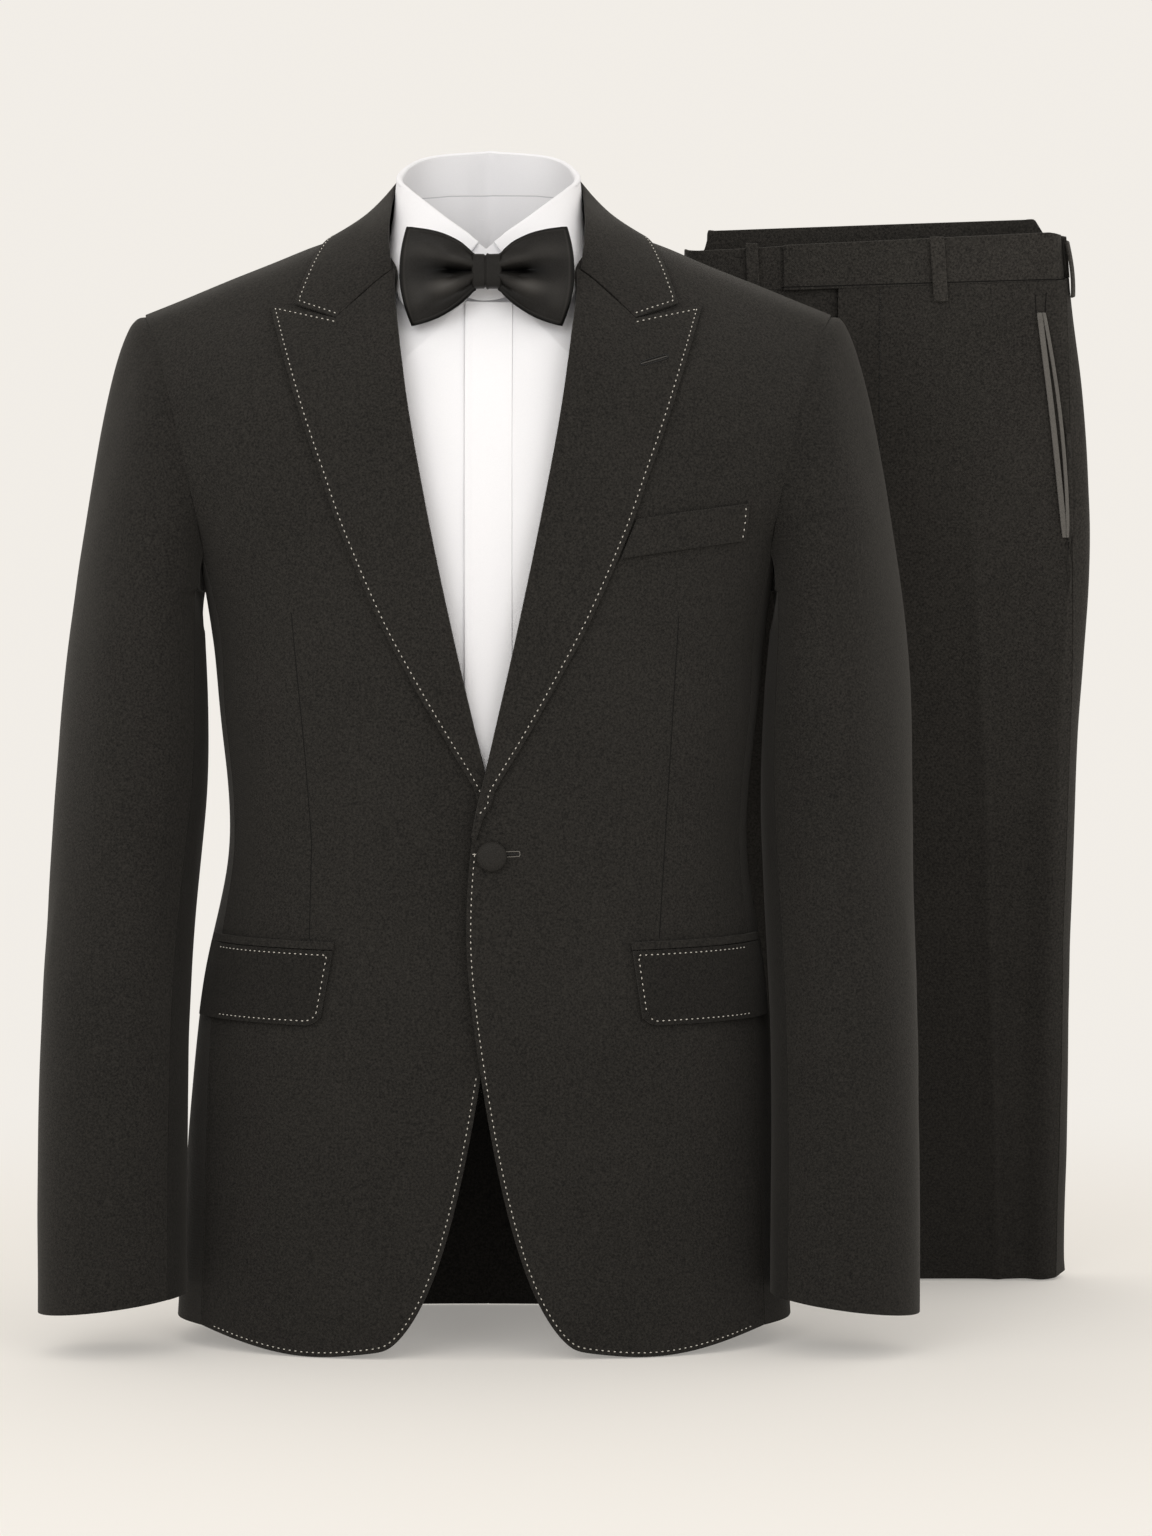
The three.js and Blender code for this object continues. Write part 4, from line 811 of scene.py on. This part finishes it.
# one entry for each cut panel; cut is the width and length in mm that it takes from the roll
clothTable = {
    "jacket_front_over": {"look": "woolFrontOver", "cut": (300, 790)},
    "jacket_front_under": {"look": "woolFrontUnder", "cut": (300, 790)},
    "jacket_side_right": {"cut": (150, 560)}, "jacket_side_left": {"cut": (150, 560)},
    "jacket_back_right": {"cut": (260, 770)}, "jacket_back_left": {"cut": (260, 770)},
    "sleeve_top_right": {**sleeveFacts, "move": sleeveMove(1)},
    "sleeve_top_left": {**sleeveFacts, "move": sleeveMove(-1)},
    "sleeve_under_right": {**underFacts, "move": sleeveMove(1)},
    "sleeve_under_left": {**underFacts, "move": sleeveMove(-1)},
    "lapel_over": {"cut": (105, 400)}, "lapel_under": {"cut": (105, 400)},
    "collar_leaf": {"cut": (420, 95)},
    "collar_stand": {"thickness": 1.2, "level": 2, "cut": (330, 60)},
    "pocket_jet_right": jetFacts, "pocket_jet_left": jetFacts,
    "pocket_flap_right": flapFacts, "pocket_flap_left": flapFacts,
    "breast_welt": {"edgeRound": 0.8, "cut": (85, 30)},
    "shirt_front_right": {**shirtFacts, "smoothing": 60, "cut": (260, 480)},
    "shirt_front_left": {**shirtFacts, "smoothing": 60, "cut": (260, 480)},
    "shirt_placket": {**shirtFacts, "look": "placket", "shape": placketShape, "cut": (31, 410)},
    "shirt_back": {**shirtFacts, "level": 2, "cut": (500, 540)},
    "shirt_collar_stand": {**shirtFacts, "look": "stand", "waves": [], "move": facingMove,
                           "cut": (400, 80)},
    "shirt_collar_leaf": {**shirtFacts, "waves": [], "edgeRound": 0.6, "cut": (430, 65)},
    "trouser_front_over": {**trouserFacts, "look": "trouserFront"},
    "trouser_front_under": {**trouserFacts, "shape": underFlyShape},
    "trouser_back_right": trouserFacts, "trouser_back_left": trouserFacts,
    "waistband_over": {**bandFacts, "cut": (215, 42), "move": frontBandMove},
    "waistband_under": {**bandFacts, "cut": (130, 30)},
    "waistband_back": {**bandFacts, "look": "trouser", "cut": (290, 52)},
    "belt_loop_left": {**loopFacts, "move": loopMove(182.6, 0.15, 0.06, 1.2)},
    "belt_loop_front": {**loopFacts, "move": loopMove(310.6, 0.19, 0.09, 1.2)},
    "belt_loop_side": {**loopFacts, "move": sideLoopMove},
    "pocket_welt_front": {**weltFacts, "cut": (10, 165), "move": weltMove(-1)},
    "pocket_welt_side": {**weltFacts, "cut": (10, 165), "move": weltMove(1)},
}

cloths = {node: clothPiece(node, entry) for node, entry in clothTable.items()}
print("cloth pieces:", len(cloths), "triangles:",
      sum(len(p.vertices) - 2 for c in cloths.values() for p in c.data.polygons))


# the plain solids that stay closed forms
def closedPiece(node, look, level):
    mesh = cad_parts[node].data.copy()
    built = bmesh.new()
    built.from_mesh(mesh)
    bmesh.ops.remove_doubles(built, verts=built.verts, dist=lifting["weld"] * mm)
    joinQuads(built, 40)
    built.to_mesh(mesh)
    built.free()
    thing = addPiece("cloth_" + node, mesh, materials[look])
    subdivide(thing, level)
    bakePiece(thing)
    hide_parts(node)
    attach(thing, "root")
    slotOf(look)
    return thing


foldedLegs = closedPiece("trouser_folded_legs", "trouser", 2)
closedPiece("button", "button", 3)

# a closed mesh through rings of points, with a flat end at each side
def tubeMesh(name, rings):
    around = len(rings[0])
    quads = [(i * around + j, i * around + (j + 1) % around,
              (i + 1) * around + (j + 1) % around, (i + 1) * around + j)
             for i in range(len(rings) - 1) for j in range(around)]
    last = (len(rings) - 1) * around
    ends = [tuple(range(around))[::-1], tuple(last + j for j in range(around))]
    mesh = bpy.data.meshes.new(name)
    mesh.from_pydata([point for ring in rings for point in ring], [], quads + ends)
    built = bmesh.new()
    built.from_mesh(mesh)
    bmesh.ops.recalc_face_normals(built, faces=built.faces)
    built.to_mesh(mesh)
    built.free()
    return mesh


# the shirt collar's top edge: one soft roll from the stand over to the leaf
collarFold = {
    "around": 14, "middle": (4, -8),     # sides of the roll, and the neck's middle in mm
    "topEdge": -0.55,                    # how far down the leaf's inward way points at its top edge
    "standWall": 1.5, "sunk": 0.6,       # mm
    "flat": 0.85, "endShare": 0.35, "endStep": 0.11,
}


def meanHeight(loop):
    return sum(point.z for point, _, _ in loop) / len(loop)


def makeCollarFold():
    leaf = max(rims["shirt_collar_leaf"], key=len)
    tops = max(rims["shirt_collar_stand"], key=meanHeight)
    neckX, neckY = (part * mm for part in collarFold["middle"])
    run = [point for point, inward, _ in leaf if inward.z < collarFold["topEdge"]]
    run.sort(key=lambda point: math.atan2(point.x - neckX, point.y - neckY))
    turns = [2 * math.pi * j / collarFold["around"] for j in range(collarFold["around"])]
    rings = []
    for k, point in enumerate(run):
        other, _, out = min(tops, key=lambda entry: (entry[0] - point).length_squared)
        inner = other - out * collarFold["standWall"] * mm
        middle = (point + inner) / 2
        across = point - inner
        radius = across.length / 2
        across.normalize()
        along = (run[min(k + 1, len(run) - 1)] - run[max(k - 1, 0)]).normalized()
        up = along.cross(across).normalized()
        if up.z < 0:
            up = -up
        fade = min(1.0, collarFold["endShare"] + collarFold["endStep"] * min(k, len(run) - 1 - k))
        rings.append([middle - up * collarFold["sunk"] * mm + (
            across * math.cos(turn) * radius
            + up * math.sin(turn) * (radius * collarFold["flat"])) * fade for turn in turns])
    thing = addPiece("shirtCollarFold", tubeMesh("shirtCollarFold", rings), materials["shirt"])
    subdivide(thing, 1)
    bakePiece(thing)
    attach(thing, "root")
    print("collar fold:", len(rings), "rings")
    return thing


collarRoll = makeCollarFold()


# Bow tie: each wing is a strip that runs out from the knot, folds at its end and comes back
bowTie = {
    "middle": (4, -95.3, -57),          # mm
    "wingLength": 41.2, "wingBulge": 4.6, "lowTuck": 3.2,
    "knotHalf": 9.6, "knotHigh": 10.9, "knotDeep": 7.2,
    "cloth": 1.3, "edgeRound": 0.4,     # thickness of the doubled satin
    "cut": (60, 95),                    # a wing's width and length from the roll
    "alongSteps": 132, "upSteps": 72, "foldRows": 1.35,      # rows of a wing, closer at its fold
}
wingOutline = [   # share from the knot to the fold, height above and below the middle, half depth
    (0, 9.6, 9.8, 5.8), (0.13, 16.2, 16.6, 7.6), (0.30, 20.9, 22.6, 7.6), (0.51, 24.9, 28.3, 6.2),
    (0.73, 27.2, 32.0, 4.4), (1, 28.8, 34.8, 2.6),
]
wingCreases = [   # across and up the wing's face: place, reach, height; depth of the crease in mm
    {"u": 0.0, "v": 0.02, "wide": 0.36, "tall": 0.12, "depth": -8.5},
    {"u": 0.30, "v": 0.07, "wide": 0.20, "tall": 0.16, "depth": -3.6},
    {"u": 0.62, "v": 0.14, "wide": 0.22, "tall": 0.38, "depth": -2.4},
    {"u": 0.14, "v": 0.40, "wide": 0.36, "tall": 0.15, "depth": 2.4},
    {"u": 0.12, "v": -0.27, "wide": 0.34, "tall": 0.11, "depth": 2.2},
    {"u": 0.36, "v": -0.20, "wide": 0.11, "tall": 0.08, "depth": -2.2},
    {"u": 0.38, "v": -0.44, "wide": 0.24, "tall": 0.14, "depth": 1.8},
    {"u": 0.05, "v": 0.78, "wide": 0.24, "tall": 0.14, "depth": -2.0},
    {"u": 0.05, "v": -0.62, "wide": 0.28, "tall": 0.12, "depth": -2.8},
]
wingHem = {"inset": 2.1, "width": 0.55, "depth": 0.45}   # mm, the line pressed by the turned edge
wingPaintedShading = [    # painted shade and highlight across the wing's face: place, reach and height; painted shade below zero, painted highlight above
    {"u": 0.0, "v": -0.02, "wide": 0.46, "tall": 0.13, "shade": -1.0},
    {"u": 0.42, "v": 0.06, "wide": 0.30, "tall": 0.24, "shade": -0.95},
    {"u": 0.22, "v": -0.28, "wide": 0.20, "tall": 0.07, "shade": -0.6},
    {"u": 0.05, "v": -0.85, "wide": 0.5, "tall": 0.14, "shade": -0.5},
    {"u": 0.30, "v": 0.34, "wide": 0.26, "tall": 0.12, "shade": 0.45},
    {"u": 0.44, "v": -0.34, "wide": 0.22, "tall": 0.16, "shade": 0.95},
    {"u": 0.16, "v": -0.30, "wide": 0.16, "tall": 0.07, "shade": 0.5},
    {"u": 0.70, "v": 0.48, "wide": 0.3, "tall": 0.2, "shade": 0.28},
    {"u": 0.84, "v": -0.42, "wide": 0.14, "tall": 0.3, "shade": 0.22},
]


def wingAway(spot, u, v):
    return ((u - spot["u"]) / spot["wide"]) ** 2 + ((v - spot["v"]) / spot["tall"]) ** 2


def wingPoint(side, along, v):
    front = along < 1
    u = along if front else 2 - along
    high, low, _ = [(a + b) / 2 for a, b in zip(
        smoothTable(wingOutline, max(0, u - 0.05)), smoothTable(wingOutline, min(1, u + 0.05)))]
    half = smoothTable(wingOutline, u)[2]
    lift = v * (high if v > 0 else low)
    bulge = bowTie["wingBulge"] * u ** 3 * (1 - v * v)
    tuck = bowTie["lowTuck"] * u ** 3 * v * v * (v < 0)
    x = bowTie["knotHalf"] - 2 + (bowTie["wingLength"] + 2) * u + bulge - tuck
    fold = math.sqrt(max(0.0, 1 - max(0.0, (u - 0.9) / 0.1) ** 2))
    depth = half * fold * (1 - 0.35 * abs(v) ** 3)
    if front:
        for crease in wingCreases:
            depth += crease["depth"] * math.exp(-wingAway(crease, u, v)) * fold
        depth += 0.5 * noise.noise(Vector((u * 4 + side, v * 4, 3))) * fold
        toEdge = (1 - abs(v)) * (high if v > 0 else low)
        depth -= ridge(toEdge - wingHem["inset"], wingHem["width"], wingHem["depth"])
        depth = -max(depth, -0.45 * half * fold)
    mx, my, mz = bowTie["middle"]
    lean = 1.5 * u + 0.9 * v * v * u
    return Vector((mx + side * x, my + depth + lean, mz + lift)) * mm


def wingShade(along, v):
    # painted shade: the wing's back layer is darker all over
    if along >= 1:
        return -0.6
    shade = sum(spot["shade"] * math.exp(-wingAway(spot, along, v)) for spot in wingPaintedShading)
    edge = min((1 - abs(v)) * 30, (1 - along) * bowTie["wingLength"])      # mm to the wing's edge
    # painted shade as a dark line along the wing's edge, with a painted highlight just inside it
    return shade - ridge(edge, 0.9, 1.0) + ridge(edge - 1.6, 0.5, 0.25)


def bowWing(side, node):
    alongSteps, upSteps = bowTie["alongSteps"], bowTie["upSteps"]
    rows = []
    paintedShades = []
    for i in range(alongSteps + 1):
        fromFold = 2 * (i / alongSteps) - 1
        along = 1 + math.copysign(abs(fromFold) ** bowTie["foldRows"], fromFold)
        rows.append([wingPoint(side, along, 2 * j / upSteps - 1) for j in range(upSteps + 1)])
        paintedShades += [wingShade(along, 2 * j / upSteps - 1) for j in range(upSteps + 1)]
    width = upSteps + 1
    corners = [point for row in rows for point in row]
    quads = [(i * width + j, i * width + j + 1, (i + 1) * width + j + 1, (i + 1) * width + j)
             for i in range(alongSteps) for j in range(upSteps)]
    if side < 0:
        quads = [quad[::-1] for quad in quads]
    mesh = bpy.data.meshes.new(node)
    mesh.from_pydata(corners, [], quads)
    mesh.update()
    mesh.attributes.new("relief", "FLOAT", "POINT").data.foreach_set("value", paintedShades)
    flatAreas[node] = sum(face.area for face in mesh.polygons)
    thing = addPiece("cloth_" + node, mesh, materials["wing"])
    thicken(thing, bowTie["cloth"], bowTie["edgeRound"])
    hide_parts(node)
    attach(thing, "root")
    cloths[node] = thing


def bowKnot():
    across, around = 56, 96
    mx, my, mz = bowTie["middle"]
    half, high, deep = bowTie["knotHalf"], bowTie["knotHigh"], bowTie["knotDeep"]
    rows = []
    for i in range(across + 1):
        place = 2 * i / across - 1
        x = half * place
        rounded = 1 - 0.16 * max(0.0, (abs(place) - 0.82) / 0.18) ** 2
        row = []
        for j in range(around):
            angle = 2 * math.pi * j / around
            c, s = math.cos(angle), math.sin(angle)
            out = rounded + (0.028 - ridge(x + 0.9, 0.55, 0.085) + ridge(x - 0.5, 0.8, 0.05))
            y = deep * out * math.copysign(abs(c) ** 0.55, c)
            z = high * out * math.copysign(abs(s) ** 0.5, s) * (0.985 + 0.015 * abs(place))
            row.append(Vector((mx + x, my - 1.6 - y, mz + z)) * mm)
        rows.append(row)
    thing = addPiece("cloth_bow_knot", tubeMesh("bow_knot", rows), materials["satin"])
    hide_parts("bow_knot")
    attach(thing, "root")


bowWing(1, "bow_wing_right")
bowWing(-1, "bow_wing_left")
bowKnot()
print("bow tie, button and folded legs ready")


# Pick stitches: a Geometry Nodes tree lays one small thread form at each step along a row
stitchFacts = {
    "pitch": 4.0, "length": 1.7, "width": 0.8, "inset": 2.9,     # mm
    "over": 0.08,                # mm that a row stands off the cloth
    "cornerShare": 0.985,        # of the inset; a point nearer than this to the edge is left out
}


def stitchTree():
    tree = bpy.data.node_groups.new("pickStitches", "GeometryNodeTree")
    face = tree.interface
    face.new_socket("Geometry", in_out="INPUT", socket_type="NodeSocketGeometry")
    for name in ("Pitch", "Stitch length", "Stitch width"):
        face.new_socket(name, in_out="INPUT", socket_type="NodeSocketFloat")
    face.new_socket("Thread", in_out="INPUT", socket_type="NodeSocketMaterial")
    face.new_socket("Geometry", in_out="OUTPUT", socket_type="NodeSocketGeometry")

    def node(kind, settings=None, values=None):
        made = tree.nodes.new(kind)
        for key, value in (settings or {}).items():
            setattr(made, key, value)
        for key, value in (values or {}).items():
            if isinstance(value, bpy.types.NodeSocket):
                tree.links.new(value, made.inputs[key])
            else:
                made.inputs[key].default_value = value
        return made

    entry = node("NodeGroupInput").outputs
    path = node("GeometryNodeMeshToCurve", values={"Mesh": entry["Geometry"]})
    spaced = node("GeometryNodeResampleCurve", {"mode": "LENGTH"}, {
        "Curve": path.outputs[0], "Length": entry["Pitch"]})
    outward = node("GeometryNodeInputNamedAttribute", {"data_type": "FLOAT_VECTOR"}, {"Name": "outward"})
    tangent = node("GeometryNodeInputTangent")
    facing = node("FunctionNodeAlignRotationToVector", {"axis": "Z"}, {"Vector": outward.outputs[0]})
    turned = node("FunctionNodeAlignRotationToVector", {"axis": "X", "pivot_axis": "Z"}, {
        "Rotation": facing.outputs[0], "Vector": tangent.outputs[0]})
    bead = node("GeometryNodeMeshUVSphere", values={"Segments": 6, "Rings": 4, "Radius": 0.5})
    size = node("ShaderNodeCombineXYZ", values={
        "X": entry["Stitch length"], "Y": entry["Stitch width"], "Z": entry["Stitch width"]})
    shaped = node("GeometryNodeTransform", values={"Geometry": bead.outputs[0], "Scale": size.outputs[0]})
    placed = node("GeometryNodeInstanceOnPoints", values={
        "Points": spaced.outputs[0], "Instance": shaped.outputs[0], "Rotation": turned.outputs[0]})
    real = node("GeometryNodeRealizeInstances", values={"Geometry": placed.outputs[0]})
    threaded = node("GeometryNodeSetMaterial", values={
        "Geometry": real.outputs[0], "Material": entry["Thread"]})
    node("NodeGroupOutput", values={"Geometry": threaded.outputs[0]})
    return tree


pickTree = stitchTree()


def stitchPiece(name, runs, look="pickThread", pitch=None, length=None, width=None):
    corners, links, outs = [], [], []
    for run in runs:
        first = len(corners)
        corners += [point for point, _ in run]
        outs += [normal for _, normal in run]
        links += [(k, k + 1) for k in range(first, len(corners) - 1)]
    mesh = bpy.data.meshes.new(name)
    mesh.from_pydata(corners, links, [])
    outward = mesh.attributes.new("outward", "FLOAT_VECTOR", "POINT")
    outward.data.foreach_set("vector", [part for normal in outs for part in normal])
    thing = addPiece(name, mesh, materials[look])
    rows = thing.modifiers.new("rows", "NODES")
    rows.node_group = pickTree
    sockets = {item.name: item.identifier for item in pickTree.interface.items_tree
               if item.item_type == "SOCKET" and item.in_out == "INPUT"}
    rows[sockets["Pitch"]] = (pitch or stitchFacts["pitch"]) * mm
    rows[sockets["Stitch length"]] = (length or stitchFacts["length"]) * mm
    rows[sockets["Stitch width"]] = (width or stitchFacts["width"]) * mm
    rows[sockets["Thread"]] = materials[look]
    bakePiece(thing)
    thing.data.polygons.foreach_set("use_smooth", [True] * len(thing.data.polygons))
    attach(thing, "root")
    return thing


def nearestOnRim(loop, place):
    x, z = place
    return min(range(len(loop)), key=lambda k: (loop[k][0].x / mm - x) ** 2 + (loop[k][0].z / mm - z) ** 2)


# the stretch of a panel's edge from start past via to end, each x and z in mm, moved in from the edge
def rimRun(node, start, via, end):
    inset = stitchFacts["inset"] * mm
    loop = max(rims[node], key=len)
    count = len(loop)
    first, middle, last = (nearestOnRim(loop, place) for place in (start, via, end))
    forward = (middle - first) % count <= (last - first) % count
    step = 1 if forward else -1
    length = (last - first) % count if forward else (first - last) % count
    rim = [point for point, _, _ in loop]
    run = []
    for k in range(length + 1):
        point, inward, normal = loop[(first + step * k) % count]
        moved = point + inward * inset
        if min((moved - other).length for other in rim) < inset * stitchFacts["cornerShare"]:
            continue
        place, out, _, _ = faces[node].find_nearest(moved)
        if out.dot(normal) < 0:
            out = -out
        run.append((place + out * stitchFacts["over"] * mm, out))
    return run


# rows of pick stitches: the panel, then where each row starts, passes and ends
pickRows = {
    "lapel_over": [((100, -88), (118, -84), (138, -79)), ((142.3, -78), (90, -240), (-1, -417))],
    "lapel_under": [((-93, -88), (-112, -85), (-131, -79)), ((-134.5, -78), (-80, -240), (-3, -400))],
    "collar_leaf": [((-93, -87), (-118.7, -75.8), (-94.9, -36)), ((99, -87), (127.7, -75.8), (103, -36))],
    "jacket_front_over": [((-10.5, -436), (25.4, -696), (175, -742))],
    "jacket_front_under": [((0.1, -583), (-52, -745), (-175, -742))],
    "pocket_flap_right": [((172, -497), (98, -498), (104, -540)), ((104, -540), (110, -548), (176, -543))],
    "pocket_flap_left": [((-172, -497), (-98, -498), (-98, -540)), ((-98, -540), (-104, -548), (-172, -543))],
    "breast_welt": [((174, -207), (172, -219), (170, -231))],
}
stitches = {}
for node, rows in pickRows.items():
    runs = [rimRun(node, *row) for row in rows]
    stitches[node] = stitchPiece("pickStitches_" + node, [run for run in runs if len(run) > 2])


# a point on a panel's face, seen from the front, at x and z in mm
def onPanel(node, x, z):
    place, out, _, _ = faces[node].ray_cast(Vector((x * mm, -0.5, z * mm)), Vector((0, 1, 0)))
    return place - Vector((0, 0.12 * mm, 0)), -out if out.y > 0 else out


# buttonholes: a purl of thread round a dark slit; start and end in mm, half height, and the thread. The front
# hole's slit is a row of near-black thread, a painted shadow in its opening
buttonholes = {
    "frontButtonhole": {"node": "jacket_front_over", "start": (13.5, -433.4), "end": (25.4, -432.9),
                        "half": 1.7, "eye": 0.9, "thread": "holeThread", "threadWidth": 0.62,
                        "slit": "darkThread"},
    "lapelButtonhole": {"node": "lapel_over", "start": (103.2, -117.0), "end": (121.2, -111.4),
                        "half": 1.5, "eye": 0.0, "thread": "darkThread", "threadWidth": 1.15,
                        "slit": "slitThread"},
}


def makeButtonhole(name, facts):
    (ax, az), (bx, bz) = facts["start"], facts["end"]
    length = math.hypot(bx - ax, bz - az)
    ux, uz = (bx - ax) / length, (bz - az) / length
    ring, slit = [], []
    for k in range(41):
        angle = 2 * math.pi * k / 40
        c, d = math.cos(angle), math.sin(angle)
        along = length / 2 * (1 + math.copysign(abs(c) ** 0.5, c))
        off = (facts["half"] + facts["eye"] * max(0.0, c) ** 4) * math.copysign(abs(d) ** 0.6, d)
        ring.append(onPanel(facts["node"], ax + ux * along - uz * off, az + uz * along + ux * off))
    for k in range(7):
        along = 0.8 + (length - 1.8) * k / 6
        slit.append(onPanel(facts["node"], ax + ux * along, az + uz * along))
    return [stitchPiece(name, [ring], facts["thread"], 0.75, 1.0, facts["threadWidth"]),
            stitchPiece(name + "Slit", [slit], facts["slit"], 0.9, 1.6, 0.95)]


holes = {facts["node"]: makeButtonhole(name, facts) for name, facts in buttonholes.items()}

# one light tack at the front edge, beside the button
tack = [onPanel("jacket_front_over", x, -433.2) for x in (-4.4, -3.4)]
holes["jacket_front_over"].append(stitchPiece("frontTack", [tack], "pickThread", 1.0, 1.9, 0.8))

# the fly's row of dark stitches
flyRow = [onPanel("trouser_front_over", x, z) for (ax, az), (bx, bz) in zip(jStitch, jStitch[1:])
          for x, z in [(ax + (bx - ax) * k / 20, az + (bz - az) * k / 20) for k in range(20)]]
holes["trouser_front_over"] = [stitchPiece("flyStitches", [flyRow], "darkThread", 2.6, 1.5, 1.25)]
print("pick stitches:", len(stitches), "panels; buttonholes:", len(buttonholes))

# for each sheet: the stitches and holes it carries, and its flat area kept within shares of its cut rectangle
areaShares = (0.301, 0.999)      # least and most of its flat rectangle that a cut piece may take

for node, thing in cloths.items():
    width, length = clothTable.get(node, bowTie)["cut"]
    carried = [stitches[node]] if node in stitches else []
    carried += holes.get(node, [])
    if node == "shirt_collar_leaf":
        carried.append(collarRoll)
    whole = width * length * mm * mm
    flatArea = min(max(flatAreas[node], areaShares[0] * whole), areaShares[1] * whole)
    width * mm
    length * mm
print("sheets declared:", len(cloths))
